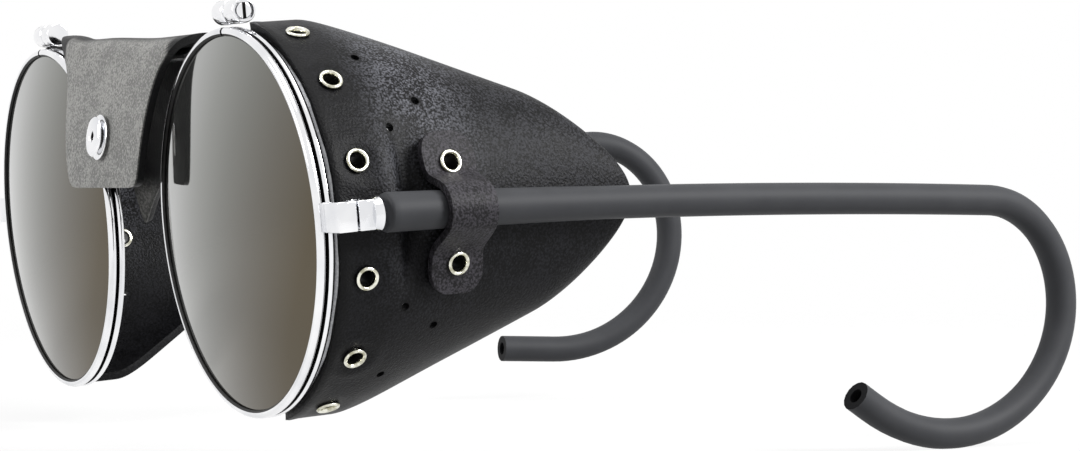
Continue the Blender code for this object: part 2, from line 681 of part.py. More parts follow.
def side_shield(side, front, temple, label, leather, metal, drop):
    """The leather shield with its hem, hoop wire, binding strip, eyelets and strap."""
    columns = [-1 + 2 * index / (SHIELD_COLUMNS - 1) for index in range(SHIELD_COLUMNS)]
    front_edge = RIM_BACK + CLEARANCE
    length = SHIELD_REACH - SHIELD_HEM_END
    rows = [front_edge, EYELET_BACK, SHIELD_HEM_END]
    rows += [SHIELD_HEM_END + length * share for share in (0.1, 0.22, 0.36, 0.52)]
    tip = SHIELD_REACH - SHIELD_TIP_START
    rows += [SHIELD_TIP_START + tip * sin(radians(turn)) for turn in (0, 18, 36, 52, 66, 78)]
    grid = []
    for back in rows:
        grid.append([flip(shield_point(across, back), side) for across in ordered(columns, side)])
    shield = sheet(grid, "side_shield_" + label, leather, front, LEATHER, -1)

    inner = SHIELD_RADIUS - LEATHER - CLEARANCE
    strip_rows = (HOOP_BACK + HOOP_RADIUS + CLEARANCE, SHIELD_HEM_END - HEM_STRIP_SETBACK)
    strip = []
    for back in strip_rows:
        row = []
        for across in ordered(columns, side):
            angle = across * (SHIELD_TOP_ANGLE if across >= 0 else SHIELD_BOTTOM_ANGLE)
            row.append((side * inner * cos(angle), back, inner * sin(angle)))
        strip.append(row)
    binding = sheet(strip, "hem_strip_" + label, leather, front, LEATHER, -1)

    bm = bmesh.new()
    rings = []
    for step in range(HOOP_STEPS + 1):
        angle = -SHIELD_BOTTOM_ANGLE + (SHIELD_TOP_ANGLE + SHIELD_BOTTOM_ANGLE) * step / HOOP_STEPS
        ring = []
        for turn in range(6):
            swing = 2 * pi * turn / 6
            reach = HOOP_OUT + HOOP_RADIUS * cos(swing)
            back = HOOP_BACK + HOOP_RADIUS * sin(swing)
            ring.append(bm.verts.new((reach * cos(angle), back, reach * sin(angle))))
        rings.append(ring)
    bridge_rings(bm, rings, False)
    bm.faces.new(rings[0])
    bm.faces.new(rings[-1])
    finish(mirrored(bm, side), "shield_hoop_" + label, metal, front, 70)

    hole = EYELET_SHANK_RADIUS + CLEARANCE
    mesh = eyelet_mesh("hem_eyelet_" + label, 2 * LEATHER + CLEARANCE, metal)
    places = []
    for number, degrees_round in enumerate(EYELET_ANGLES, 1):
        angle = radians(degrees_round)
        normal = Vector((cos(angle), 0, sin(angle)))
        point = normal * SHIELD_RADIUS + Vector((0, EYELET_BACK, 0))
        places.append((point, normal, hole))
        place_on_normal(f"eyelet_{number}_{label}", mesh, front, flip(point, side), flip(normal, side))
    boolean(binding, holes("cut_hem_" + label, front, side, places, 4 * LEATHER), "DIFFERENCE")

    strap = leather_strap(side, temple, label, leather, drop)
    stack = LEATHER + CLEARANCE + STRAP_THICKNESS
    mesh = eyelet_mesh("strap_eyelet_" + label, stack, metal)
    strap_places = []
    for name, way in (("upper", 1), ("lower", -1)):
        height = strap_middle(STRAP_BACK, drop) - STRAP_LOWERED + way * STRAP_EYELET_RISE
        point, normal = shield_frame(STRAP_BACK, height)
        strap_places.append((point, normal, hole))
        seat = point + normal * (CLEARANCE + STRAP_THICKNESS)
        place_on_normal(f"strap_eyelet_{name}_{label}", mesh, temple, flip(seat, side), flip(normal, side))
    boolean(strap, holes("cut_strap_" + label, temple, side, strap_places, 4 * LEATHER), "DIFFERENCE")

    for back, height in VENTS:
        for way in (1, -1):
            point, normal = shield_frame(back, way * height)
            places.append((point, normal, VENT_RADIUS))
    cutter = holes("cut_shield_" + label, front, side, places + strap_places, 4 * LEATHER)
    boolean(shield, cutter, "DIFFERENCE")


def strap_middle(back, drop):
    """Height of the cable's centre line beside the strap."""
    return HINGE_HEIGHT + tan(drop) * (back - SLEEVE_START) / cos(TEMPLE_TOE)


def leather_strap(side, temple, label, leather, drop):
    """The dog-bone strap: two lobes on the shield and a waist that bridges the sleeve."""
    lobe = STRAP_HALF_LENGTH
    stations = [
        (lobe, 0.45),
        (lobe * 0.95, 0.75),
        (lobe * 0.82, 1.0),
        (lobe * 0.62, 1.0),
        (lobe * 0.41, 0.94),
    ]
    rows = []
    for height, share in stations:
        rows.append((height, None, STRAP_HALF_WIDTH * share))
    for turn in (72, 36, 0, -36, -72):
        rows.append((None, radians(turn), STRAP_WAIST))
    for height, share in reversed(stations):
        rows.append((-height, None, STRAP_HALF_WIDTH * share))
    grid = []
    for height, turn, half_width in rows:
        row = []
        for share in ordered((-1, 0, 1), side):
            back = STRAP_BACK + share * half_width
            middle = strap_middle(back, drop)
            if turn is None:
                point, normal = shield_frame(back, middle - STRAP_LOWERED + height)
                point = point + normal * CLEARANCE
            else:
                reach = SLEEVE_FRONT_RADIUS + CLEARANCE
                centre = SLEEVE_OUT - tan(TEMPLE_TOE) * (back - SLEEVE_START)
                point = Vector((centre + reach * cos(turn), back, middle + reach * sin(turn)))
            row.append(flip(point, side))
        grid.append(row)
    return sheet(grid, "temple_strap_" + label, leather, temple, STRAP_THICKNESS, 1)


def bridge(front, metal, sides):
    """A straight bar soldered between the rims, with its ends coped to them."""
    reach = LENS_SPACING / 2 - RIM_OUTER_RADIUS * 0.3
    bar = rod(BRIDGE_RADIUS, (-reach, 0, BRIDGE_HEIGHT), (reach, 0, BRIDGE_HEIGHT), 12)
    item = finish(bar, "bridge_bar", metal, front)
    for label, parent in sides:
        span = RIM_WIDTH * 2
        cope = rod(RIM_OUTER_RADIUS + CLEARANCE, (0, -span, 0), (0, span, 0), 96)
        boolean(item, as_cutter(finish(cope, "cut_bridge_" + label, None, parent)), "DIFFERENCE")


def nose_flap_back(height):
    """The front flap's inner face: it leaves the bar and leans forward towards its lower edge."""
    share = (BRIDGE_HEIGHT - height) / (BRIDGE_HEIGHT - NOSE_FLAP_BOTTOM)
    return -NOSE_WRAP_RADIUS - (NOSE_FLAP_FORWARD - NOSE_WRAP_RADIUS) * sin(pi / 2 * share)


def nose_gap(height):
    """Half the gap between the rims at a height."""
    return LENS_SPACING / 2 - sqrt(max(0.0, RIM_OUTER_RADIUS**2 - height**2))


def nose_leather(front, leather, metal):
    """The leather folded over the bridge bar: a rear panel between the rims and a front flap."""
    columns = [1 - 2 * index / (NOSE_COLUMNS - 1) for index in range(NOSE_COLUMNS)]
    rows = []
    for share in (0, 0.2, 0.45, 0.7, 0.88, 1):
        level = NOSE_ARCH_FOOT + (BRIDGE_HEIGHT - NOSE_ARCH_FOOT) * share
        row = []
        for column in columns:
            x = column * (nose_gap(level) + NOSE_TUCK)
            arch = NOSE_ARCH_FOOT + (NOSE_ARCH_TOP - NOSE_ARCH_FOOT) * (1 - column**2)
            row.append((x, NOSE_WRAP_RADIUS, arch + (BRIDGE_HEIGHT - arch) * share))
        rows.append(row)
    shoulder = nose_gap(BRIDGE_HEIGHT + NOSE_WRAP_RADIUS)
    between = (shoulder + NOSE_FLAP_TOP_WIDTH) / 2
    flap = NOSE_FLAP_TOP_WIDTH
    for turn, width in ((30, shoulder), (60, shoulder), (90, between), (130, flap), (180, flap)):
        y = NOSE_WRAP_RADIUS * cos(radians(turn))
        z = BRIDGE_HEIGHT + NOSE_WRAP_RADIUS * sin(radians(turn))
        rows.append([(column * width, y, z) for column in columns])
    drop = BRIDGE_HEIGHT - NOSE_FLAP_BOTTOM
    lower = ((0.14, 1), (0.3, 1), (0.5, 1), (0.72, 1), (0.92, 0.97), (0.98, 0.92), (1, 0.82))
    for share, corner in lower:
        z = BRIDGE_HEIGHT - drop * share
        width = NOSE_FLAP_TOP_WIDTH + (NOSE_FLAP_BOTTOM_WIDTH - NOSE_FLAP_TOP_WIDTH) * sqrt(share)
        rows.append([(column * width * corner, nose_flap_back(z), z) for column in columns])
    item = sheet(rows, "nose_leather", leather, front, LEATHER, 1)

    step = CLEARANCE
    slope = (nose_flap_back(STUD_HEIGHT + step) - nose_flap_back(STUD_HEIGHT - step)) / (2 * step)
    normal = Vector((0, -1, slope)).normalized()
    face = Vector((0, nose_flap_back(STUD_HEIGHT), STUD_HEIGHT)) + normal * LEATHER
    back = -LEATHER - CLEARANCE
    profile = [
        (STUD_BORE_RADIUS, back - STUD_FLANGE),
        (STUD_RADIUS * 0.8, back - STUD_FLANGE),
        (STUD_RADIUS * 0.8, back),
        (STUD_SHANK_RADIUS, back),
        (STUD_SHANK_RADIUS, CLEARANCE),
        (STUD_RADIUS, CLEARANCE),
        (STUD_RADIUS * 0.94, CLEARANCE + STUD_FLANGE),
        (STUD_SHANK_RADIUS, CLEARANCE + STUD_FLANGE * 1.3),
        (STUD_SHANK_RADIUS * 0.85, CLEARANCE + STUD_PROUD),
        (STUD_BORE_RADIUS, CLEARANCE + STUD_PROUD),
    ]
    bm = turned(profile, 14)
    bmesh.ops.recalc_face_normals(bm, faces=bm.faces)
    mesh = bpy.data.meshes.new("nose_stud")
    bm.to_mesh(mesh)
    bm.free()
    mesh.shade_smooth()
    mesh.set_sharp_from_angle(angle=radians(40))
    mesh.materials.append(metal)
    place_on_normal("nose_stud", mesh, front, face, normal)
    cutter = holes("cut_nose", front, 1, [(face, normal, STUD_SHANK_RADIUS + CLEARANCE)], 3 * LEATHER)
    boolean(item, cutter, "DIFFERENCE")


def stand_on_origin(root):
    """Moves the glasses so that the middle of the underside of their bounding box is the origin."""
    bpy.context.view_layer.update()
    graph = bpy.context.evaluated_depsgraph_get()
    low = Vector((1, 1, 1))
    high = Vector((-1, -1, -1))
    for item in bpy.data.objects:
        if item.type != "MESH" or item.hide_render:
            continue
        solid = item.evaluated_get(graph)
        mesh = solid.to_mesh()
        for vert in mesh.vertices:
            place = solid.matrix_world @ vert.co
            low = Vector(map(min, low, place))
            high = Vector(map(max, high, place))
        solid.to_mesh_clear()
    root.location = (-(low.x + high.x) / 2, -(low.y + high.y) / 2, -low.z)


def main():
    clear_scene()
    chrome = make_material("chrome", 0.80, 0.80, 0.80, 1.0, 0.12)
    steel = make_material("spring_steel", 0.45, 0.45, 0.45, 1.0, 0.35)
    mirror_lens = make_material("mirror_lens", 0.35, 0.33, 0.29, 0.9, 0.08)
    leather = make_material("black_leather", 0.02, 0.02, 0.022, 0.0, 0.55)
    rubber = make_material("black_rubber", 0.05, 0.05, 0.05, 0.0, 0.45)

    root = make_empty("glasses", None)
    front = make_empty("front", root, rotation=(FACE_TILT, 0, 0))
    left = (
        LEFT_DROP,
        LEFT_BOW,
        LEFT_STRAIGHT,
        LEFT_CURL_START_RADIUS,
        LEFT_CURL_MIDDLE_RADIUS,
        LEFT_CURL_END_RADIUS,
        LEFT_CURL_SWEEP,
        LEFT_TAIL,
    )
    right = (
        RIGHT_DROP,
        RIGHT_BOW,
        RIGHT_STRAIGHT,
        RIGHT_CURL_START_RADIUS,
        RIGHT_CURL_MIDDLE_RADIUS,
        RIGHT_CURL_END_RADIUS,
        RIGHT_CURL_SWEEP,
        RIGHT_TAIL,
    )
    sides = []
    for side, label, shape in ((1, "left", left), (-1, "right", right)):
        half = make_empty("side_" + label, front, (side * LENS_SPACING / 2, 0, 0), (0, 0, side * FACE_WRAP))
        hinge = make_empty("hinge_" + label, half, (side * HINGE_OUT, HINGE_BACK, HINGE_HEIGHT))
        sides.append((label, half))
        rim_ring(side, half, chrome, "rim_" + label)
        lens(side, half, mirror_lens, "lens_" + label)
        closing_block(side, half, chrome, label)
        end_piece(side, half, chrome, label)
        hinge_screw(side, half, chrome, label)
        temple_end(side, hinge, chrome, label)
        temple_cable(side, hinge, label, rubber, steel, shape)
        side_shield(side, half, hinge, label, leather, chrome, shape[0])
    bridge(front, chrome, sides)
    nose_leather(front, leather, chrome)
    stand_on_origin(root)
    for label, _ in sides:
        hinge = bpy.data.objects["hinge_" + label]
        bpy.context.view_layer.update()
        place = hinge.matrix_world.translation
        print("hinge", label, [round(value, 6) for value in place])


main()
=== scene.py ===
# %% [markdown]
# # Glacier glasses
#
# Round chrome rims carry mirrored lenses. Leather shields riveted to the rims close the
# sides, a leather piece folded over the bar pads the nose, and rubber-covered cable temples
# hook round the ears. The solids are loaded first, and every soft or rounded piece is then
# modelled again over them, so that the look and the moving bodies share one frame.

from math import asin, cos, exp, hypot, pi, radians, sin, sqrt, tan

import bpy
from mathutils import Matrix, Vector


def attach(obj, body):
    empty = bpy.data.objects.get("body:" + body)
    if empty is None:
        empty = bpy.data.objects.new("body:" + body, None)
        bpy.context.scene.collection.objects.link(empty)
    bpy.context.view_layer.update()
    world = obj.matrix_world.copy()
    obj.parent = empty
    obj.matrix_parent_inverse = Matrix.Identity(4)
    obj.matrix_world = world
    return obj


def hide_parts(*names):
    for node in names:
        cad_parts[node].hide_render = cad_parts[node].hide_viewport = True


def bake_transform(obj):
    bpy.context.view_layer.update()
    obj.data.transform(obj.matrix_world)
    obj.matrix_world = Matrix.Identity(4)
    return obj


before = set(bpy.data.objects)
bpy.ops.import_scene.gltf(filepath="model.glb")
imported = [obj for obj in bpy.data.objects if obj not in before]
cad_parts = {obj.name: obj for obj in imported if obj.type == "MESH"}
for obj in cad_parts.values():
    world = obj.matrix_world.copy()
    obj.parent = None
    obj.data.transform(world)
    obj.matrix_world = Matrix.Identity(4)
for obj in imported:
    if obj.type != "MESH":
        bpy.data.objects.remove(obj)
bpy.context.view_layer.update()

# %% [markdown]
# Every point could be typed in where it lies in space, but then each number would carry the
# lean and the turn of the front. It is easier to draw one side of the glasses round its own
# lens: x runs out to the temple, y runs back to the ear and z runs up. The front leans back
# a little and each lens turns a little to the side, so one matrix carries a finished piece
# from its lens to its place. The right side is the left one mirrored.

# %% Lens frames
MM = 0.001
LENS_SPACING = 76.36 * MM
FACE_TILT = radians(5.07)
FACE_WRAP = radians(1.2)
FRONT_PLACE = Vector((0, -59.855, 33.48)) * MM
SIDES = ((1, "left"), (-1, "right"))
FRONT = Matrix.Translation(FRONT_PLACE) @ Matrix.Rotation(FACE_TILT, 4, "X")


def lens_place(side):
    """Carries a piece drawn round its lens to its place on the glasses."""
    beside = Matrix.Translation((side * LENS_SPACING / 2, 0, 0))
    turned_out = Matrix.Rotation(side * FACE_WRAP, 4, "Z")
    return FRONT @ beside @ turned_out @ Matrix.Diagonal((side, 1, 1, 1))


for side, label in SIDES:
    centre = lens_place(side).translation / MM
    print("lens centre", label, [round(value, 2) for value in centre])

# %% [markdown]
# The camera could be aimed by eye. Here its place and its direction were worked out from
# the rims, the hinges and the temples, so that every shape can be compared in the picture.
# It stands in front of the wearer's left temple, almost level with the lenses, with a long
# lens that keeps the far side nearly as large as the near one.

# %% Camera
CAMERA_PLACE = Vector((434.13, -221.59, 38.61)) * MM
CAMERA_AWAY = Vector((0.88531, -0.46483, 0.012828))
FOCAL_LENGTH = 103.07
FILM_WIDTH = 36

bpy.ops.object.select_all(action="DESELECT")
bpy.ops.object.camera_add(location=CAMERA_PLACE)
camera = bpy.context.object
camera.rotation_euler = CAMERA_AWAY.to_track_quat("Z", "Y").to_euler()
camera.data.lens = FOCAL_LENGTH
camera.data.sensor_width = FILM_WIDTH
bpy.context.scene.camera = camera
print("camera", round((CAMERA_PLACE - FRONT_PLACE).length, 3), "m from the front")

# %% [markdown]
# Blender's operators act on whatever is selected, so a script has to select as carefully as
# a hand does. A few small steps come back all through the modelling, and each is written
# once: clearing the selection, selecting by place, applying a modifier, and joining or
# cutting.

# %% Modelling steps


def begin():
    bpy.ops.object.select_all(action="DESELECT")


def edit(piece, test):
    """Edit mode, with the faces that pass the test selected."""
    bpy.ops.object.mode_set(mode="EDIT")
    bpy.ops.mesh.select_mode(type="FACE")
    bpy.ops.mesh.select_all(action="DESELECT")
    bpy.ops.object.mode_set(mode="OBJECT")
    for face in piece.data.polygons:
        face.select = test(face)
    bpy.ops.object.mode_set(mode="EDIT")


def leave():
    bpy.ops.object.mode_set(mode="OBJECT")


def modify(piece, kind, **settings):
    """Add a modifier to the piece and apply it."""
    bpy.context.view_layer.objects.active = piece
    modifier = piece.modifiers.new(kind.title(), kind)
    for name, value in settings.items():
        setattr(modifier, name, value)
    bpy.ops.object.modifier_apply(modifier=modifier.name)


def boolean(piece, other, operation):
    """Join the other mesh to the piece or cut it away, and use it up."""
    modify(piece, "BOOLEAN", object=other, operation=operation, solver="EXACT")
    bpy.data.objects.remove(other)
    piece.select_set(True)


print("modelling steps ready")

# %% [markdown]
# A finished piece is handed over in two steps. Its place goes into its mesh, with the faces
# turned outward, because patterns on the object's own coordinates would slide otherwise.
# Then it gets its name and its material, and the solids that it stands for are hidden.

# %% Finishing steps


def place(piece, matrix, angle=35):
    """Put a piece's place into its mesh, and turn its faces outward."""
    begin()
    piece.select_set(True)
    bpy.context.view_layer.objects.active = piece
    piece.matrix_world = matrix @ piece.matrix_world
    bpy.ops.object.transform_apply(location=True, rotation=True, scale=True)
    bpy.ops.object.mode_set(mode="EDIT")
    bpy.ops.mesh.select_all(action="SELECT")
    bpy.ops.mesh.normals_make_consistent(inside=False)
    leave()
    bpy.ops.object.shade_smooth_by_angle(angle=radians(angle))


def dress(piece, name, material, slot, *nodes):
    """Name a finished piece, give it its material and hide the solids that it stands for."""
    piece.name = name
    piece.data.name = name
    if not piece.data.materials:
        piece.data.materials.append(material)
    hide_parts(*nodes)
    print(name, len(piece.data.polygons), "faces")


def second_material(piece, material, test):
    """Give the faces that pass the test another material."""
    piece.data.materials.append(material)
    for face in piece.data.polygons:
        face.material_index = int(test(face))


print("finishing steps ready")

# %% [markdown]
# A material could be one flat colour, but no real surface is. Each one here is a small tree
# of shader nodes on the object's own coordinates, and every pattern has a size in
# millimetres. One function turns a screen colour into the linear values that the shader
# wants, one sets or links a node's inputs, and one adds a node.

# %% Material helpers


def colour(code):
    """A screen colour such as "9a9a94" as the linear values that the shader wants."""
    values = [int(code[place : place + 2], 16) / 255 for place in (0, 2, 4)]
    return [v / 12.92 if v < 0.04045 else ((v + 0.055) / 1.055) ** 2.4 for v in values] + [1]


def feed(tree, node, inputs):
    """Set inputs to values, or link them to a socket or to the first output of another node."""
    for name, value in inputs.items():
        if isinstance(value, bpy.types.Node):
            value = value.outputs[0]
        if isinstance(value, bpy.types.NodeSocket):
            tree.links.new(value, node.inputs[name])
        else:
            node.inputs[name].default_value = value


def add(tree, kind, inputs=None, stops=(), **settings):
    """A node with its settings, its inputs and, on a colour ramp, its (position, colour) stops."""
    node = tree.nodes.new(kind)
    for name, value in settings.items():
        setattr(node, name, value)
    feed(tree, node, inputs or {})
    while stops and len(node.color_ramp.elements) < len(stops):
        node.color_ramp.elements.new(0.5)
    for index, (position, code) in enumerate(stops):
        node.color_ramp.elements[index].position = position
        node.color_ramp.elements[index].color = colour(code)
    return node


def new_material(name):
    """A material, its node tree, its shader and the object's own coordinates."""
    material = bpy.data.materials.new(name)
    material.use_nodes = True
    tree = material.node_tree
    where = add(tree, "ShaderNodeTexCoord").outputs["Object"]
    print("material", name)
    return material, tree, tree.nodes["Principled BSDF"], where


print("a middle grey on the screen is", round(colour("808080")[0], 3), "to the shader")

# %% [markdown]
# Polished chrome plate covers the rims, the blocks, the screws and the stud. A perfect
# mirror would look like a drawing, so fingerprints and wiping marks about 6 mm across make
# its roughness and its colour wander a little. To the eye it stays bright and hard.

# %% Chrome
SMUDGE = 6 * MM
chrome, tree, shader, where = new_material("chrome_plate")
smudge = add(tree, "ShaderNodeTexNoise", {"Vector": where, "Scale": 1 / SMUDGE})
bright = add(tree, "ShaderNodeValToRGB", {"Fac": smudge}, ((0.3, "e2e3e6"), (0.7, "f4f4f5")))
wiped = add(tree, "ShaderNodeMapRange", {"Value": smudge, "To Min": 0.04, "To Max": 0.12})
feed(tree, shader, {"Metallic": 1.0, "Base Color": bright, "Roughness": wiped})

# %% [markdown]
# The eyelets are pressed from brass and plated more thinly. In rubbed patches of about a
# millimetre the brass warms the plate and takes the edge off its mirror.

# %% Worn plate
RUBBED_PATCH = 0.9 * MM
plate, tree, shader, where = new_material("worn_brass_plate")
rubbed = add(tree, "ShaderNodeTexNoise", {"Vector": where, "Scale": 1 / RUBBED_PATCH})
warm = add(tree, "ShaderNodeValToRGB", {"Fac": rubbed}, ((0.35, "a9a691"), (0.6, "ecebdf")))
dulled = add(tree, "ShaderNodeMapRange", {"Value": rubbed, "To Min": 0.1, "To Max": 0.25})
feed(tree, shader, {"Metallic": 1.0, "Base Color": warm, "Roughness": dulled})

# %% [markdown]
# In grooves and inside the eyelets the metal is drawn dark and matt. This is painted shade,
# since the white room would light polished hollows from all sides. A shader could search for
# hollows, but the hollow faces are known when a piece is made, so they simply get this second material.

# %% Painted hollow shade
SHADE_MOTTLE = 1.2 * MM
hollow_shade, tree, shader, where = new_material("painted_hollow_shade")
mottle = add(tree, "ShaderNodeTexNoise", {"Vector": where, "Scale": 1 / SHADE_MOTTLE})
dark = add(tree, "ShaderNodeValToRGB", {"Fac": mottle}, ((0.3, "0d0d0e"), (0.7, "232221")))
matt = add(tree, "ShaderNodeMapRange", {"Value": mottle, "To Min": 0.4, "To Max": 0.6})
# Painted shade: a dark, matt metal for the hollow faces.
feed(tree, shader, {"Metallic": 0.6, "Base Color": dark, "Roughness": matt})

# %% [markdown]
# A thin metal coating makes the front of a lens a grey-brown mirror. A plain mirror would
# only show the white room, so a painted reflection is drawn into the coating: lighter at its
# nasal top and deeper towards the lower temple side. The lenses repeat at the lens spacing,
# so one coordinate that starts again at that distance shades both alike.

# %% Mirror coating and painted reflection
LENS_LOW_SIDE = 12.7 * MM
LENS_SPAN = 51 * MM
WIPE_MARK = 9 * MM
COATING_AND_REFLECTION = ((0.1, "989997"), (0.3, "858682"), (0.5, "757570"), (0.7, "69665f"), (1.0, "5b5344"))
mirror, tree, shader, where = new_material("mirror_coating_and_painted_reflection")
axes = add(tree, "ShaderNodeSeparateXYZ", {"Vector": where}).outputs
shifted = add(tree, "ShaderNodeMath", {0: axes["X"], 1: LENS_LOW_SIDE}, operation="SUBTRACT")
again = add(tree, "ShaderNodeMath", {0: shifted, 1: LENS_SPACING}, operation="FLOORED_MODULO")
across = add(tree, "ShaderNodeMath", {0: again, 1: LENS_SPAN}, operation="DIVIDE")
height = add(tree, "ShaderNodeMath", {0: axes["Z"], 1: LENS_SPAN}, operation="DIVIDE")
lower = add(tree, "ShaderNodeMath", {0: height, 1: -0.6, 2: 0.4}, operation="MULTIPLY_ADD")
deeper = add(tree, "ShaderNodeMath", {0: across, 1: lower}, operation="ADD")
coating_and_reflection = add(tree, "ShaderNodeValToRGB", {"Fac": deeper}, COATING_AND_REFLECTION)
marks = add(tree, "ShaderNodeTexNoise", {"Vector": where, "Scale": 1 / WIPE_MARK})
wiped = add(tree, "ShaderNodeMapRange", {"Value": marks, "To Min": 0.03, "To Max": 0.06})
feed(tree, shader, {"Metallic": 0.9, "Base Color": coating_and_reflection, "Roughness": wiped})

# %% [markdown]
# Only the front of a lens is coated. From behind it is dark brown glass with a sharp gloss.
# It could be made see-through, but so dark a glass hides what lies behind it, and an opaque
# one stays clean in every light.

# %% Tinted glass
GLASS_CLOUD = 12 * MM
tint, tree, shader, where = new_material("dark_tinted_glass")
cloud = add(tree, "ShaderNodeTexNoise", {"Vector": where, "Scale": 1 / GLASS_CLOUD})
brown = add(tree, "ShaderNodeValToRGB", {"Fac": cloud}, ((0.3, "120f0c"), (0.7, "1d1813")))
feed(tree, shader, {"Base Color": brown, "Roughness": 0.06, "IOR": 1.52})

# %% [markdown]
# The leather is dyed black and finely pebbled. Each pebble is a cell about 0.4 mm wide,
# raised in the middle, with finer flecks on it. The furrows keep the dye and the crowns
# have worn greyer, and patches of a few millimetres are glossier where the leather has been
# handled. A picture could carry such a grain, but cells and noise need none and stay sharp
# at any distance. On the upper part of a shield, behind the hem, a painted sheen of the
# light from above makes the crowns paler, less so towards the tip.

# %% Leather
PEBBLE = 0.4 * MM
FLECK = 0.3 * MM
HANDLED_PATCH = 4 * MM
PEBBLE_HEIGHT = 0.14 * MM
SHEEN_LOW = 18 * MM
SHEEN_HIGH = 50 * MM
SHEEN_FRONT = -55 * MM
SHEEN_BACK = -45 * MM
SHEEN_TIP_FRONT = -44 * MM
SHEEN_TIP_BACK = -33 * MM
SHEEN_TIP_SHARE = 0.2
LEATHER_SHINE = 0.13
CELL_SHARE = -0.35
PATCH_SHARE = 0.4
FURROW_STOP = 0.42
CROWN_STOP = 0.66
SHEEN_STOPS = (0.44, 0.7)


def sheen_share(tree, where):
    """How much painted sheen of the light from above a shield gets: most in its upper middle, less at
    its tip.
    """
    axes = add(tree, "ShaderNodeSeparateXYZ", {"Vector": where}).outputs
    height = {"Value": axes["Z"], "From Min": SHEEN_LOW, "From Max": SHEEN_HIGH}
    behind_hem = {"Value": axes["Y"], "From Min": SHEEN_FRONT, "From Max": SHEEN_BACK}
    near_tip = {"Value": axes["Y"], "From Min": SHEEN_TIP_FRONT, "From Max": SHEEN_TIP_BACK}
    near_tip.update({"To Min": 1.0, "To Max": SHEEN_TIP_SHARE})
    upper = add(tree, "ShaderNodeMapRange", height, interpolation_type="SMOOTHSTEP")
    behind = add(tree, "ShaderNodeMapRange", behind_hem, interpolation_type="SMOOTHSTEP")
    tip_falloff = add(tree, "ShaderNodeMapRange", near_tip, interpolation_type="SMOOTHSTEP")
    reach = add(tree, "ShaderNodeMath", {0: behind, 1: tip_falloff}, operation="MULTIPLY")
    return add(tree, "ShaderNodeMath", {0: upper, 1: reach}, operation="MULTIPLY")


def leather_material(name, furrow, crown, sheen=None, shade_to_black=False):
    """Grained leather. sheen gives the furrows and crowns of the part with painted sheen.
    With shade_to_black, the leather turns black where the mesh's shade attribute falls to zero."""
    material, tree, shader, where = new_material(name)
    cells = add(tree, "ShaderNodeTexVoronoi", {"Vector": where, "Scale": 1 / PEBBLE})
    fine = {"Vector": where, "Scale": 1 / FLECK, "Detail": 4.0}
    flecks = add(tree, "ShaderNodeTexNoise", fine)
    broad = {"Vector": where, "Scale": 1 / HANDLED_PATCH, "Detail": 3.0}
    patches = add(tree, "ShaderNodeTexNoise", broad)
    pebbles = {0: cells, 1: CELL_SHARE, 2: flecks}
    raised = add(tree, "ShaderNodeMath", pebbles, operation="MULTIPLY_ADD")
    with_patches = {0: patches, 1: PATCH_SHARE, 2: raised}
    grain = add(tree, "ShaderNodeMath", with_patches, operation="MULTIPLY_ADD")
    stops = ((FURROW_STOP, furrow), (CROWN_STOP, crown))
    shades = add(tree, "ShaderNodeValToRGB", {"Fac": grain}, stops)
    # Painted sheen of the light from above, on the upper middle of a shield.
    if sheen:
        stops = tuple(zip(SHEEN_STOPS, sheen))
        pale = add(tree, "ShaderNodeValToRGB", {"Fac": grain}, stops)
        both = {0: sheen_share(tree, where), 6: shades, 7: pale}
        shades = add(tree, "ShaderNodeMix", both, data_type="RGBA").outputs[2]
    # The shade attribute carries the black front edge, and painted shade in the fold and the vents.
    if shade_to_black:
        shade = add(tree, "ShaderNodeAttribute", attribute_name="shade").outputs["Fac"]
        stops = ((FURROW_STOP, "030304"), (CROWN_STOP, "0a0a0c"))
        shade_black = add(tree, "ShaderNodeValToRGB", {"Fac": grain}, stops)
        both = {0: shade, 6: shade_black, 7: shades}
        shades = add(tree, "ShaderNodeMix", both, data_type="RGBA").outputs[2]
    gloss = add(tree, "ShaderNodeMapRange", {"Value": patches, "To Min": 0.38, "To Max": 0.55})
    relief = {"Height": raised, "Strength": 0.6, "Distance": PEBBLE_HEIGHT}
    feed(tree, shader, {"Base Color": shades, "Roughness": gloss, "IOR": 1.5})
    feed(tree, shader, {"Specular IOR Level": LEATHER_SHINE})
    feed(tree, shader, {"Normal": add(tree, "ShaderNodeBump", relief)})
    return material


# The shield leather: its last two colours are a painted sheen, and its shade attribute turns it black.
leather = leather_material("black_leather", "020203", "151518", ("0a0a0c", "6a6b71"), True)
# The strap's leather is drawn lighter than the shield's.
strap_leather = leather_material("lighter_strap_leather", "1d1c1e", "454348")
# The nose leather's pale grey is a painted sheen on its forward faces.
nose_material = leather_material("nose_leather_painted_sheen", "7b7b79", "aeadaa", shade_to_black=True)

# %% [markdown]
# The temple sleeves are moulded from soft black rubber, which has bloomed to a satin dark
# grey. Its gloss is low and broad, and a fine roughness of 0.2 mm breaks it up.

# %% Rubber
BLOOM = 5 * MM
RUBBER_GRIT = 0.2 * MM
rubber, tree, shader, where = new_material("satin_black_rubber")
bloom = add(tree, "ShaderNodeTexNoise", {"Vector": where, "Scale": 1 / BLOOM})
grey = add(tree, "ShaderNodeValToRGB", {"Fac": bloom}, ((0.3, "36373a"), (0.7, "3d3e41")))
satin = add(tree, "ShaderNodeMapRange", {"Value": bloom, "To Min": 0.55, "To Max": 0.65})
grit = add(tree, "ShaderNodeTexNoise", {"Vector": where, "Scale": 1 / RUBBER_GRIT})
relief = {"Height": grit, "Strength": 0.15, "Distance": 0.03 * MM}
feed(tree, shader, {"Base Color": grey, "Roughness": satin, "Specular IOR Level": 0.25})
feed(tree, shader, {"Normal": add(tree, "ShaderNodeBump", relief)})

# %% [markdown]
# Where the tube is cut across, at its tip, the rubber has kept its black and is matt.

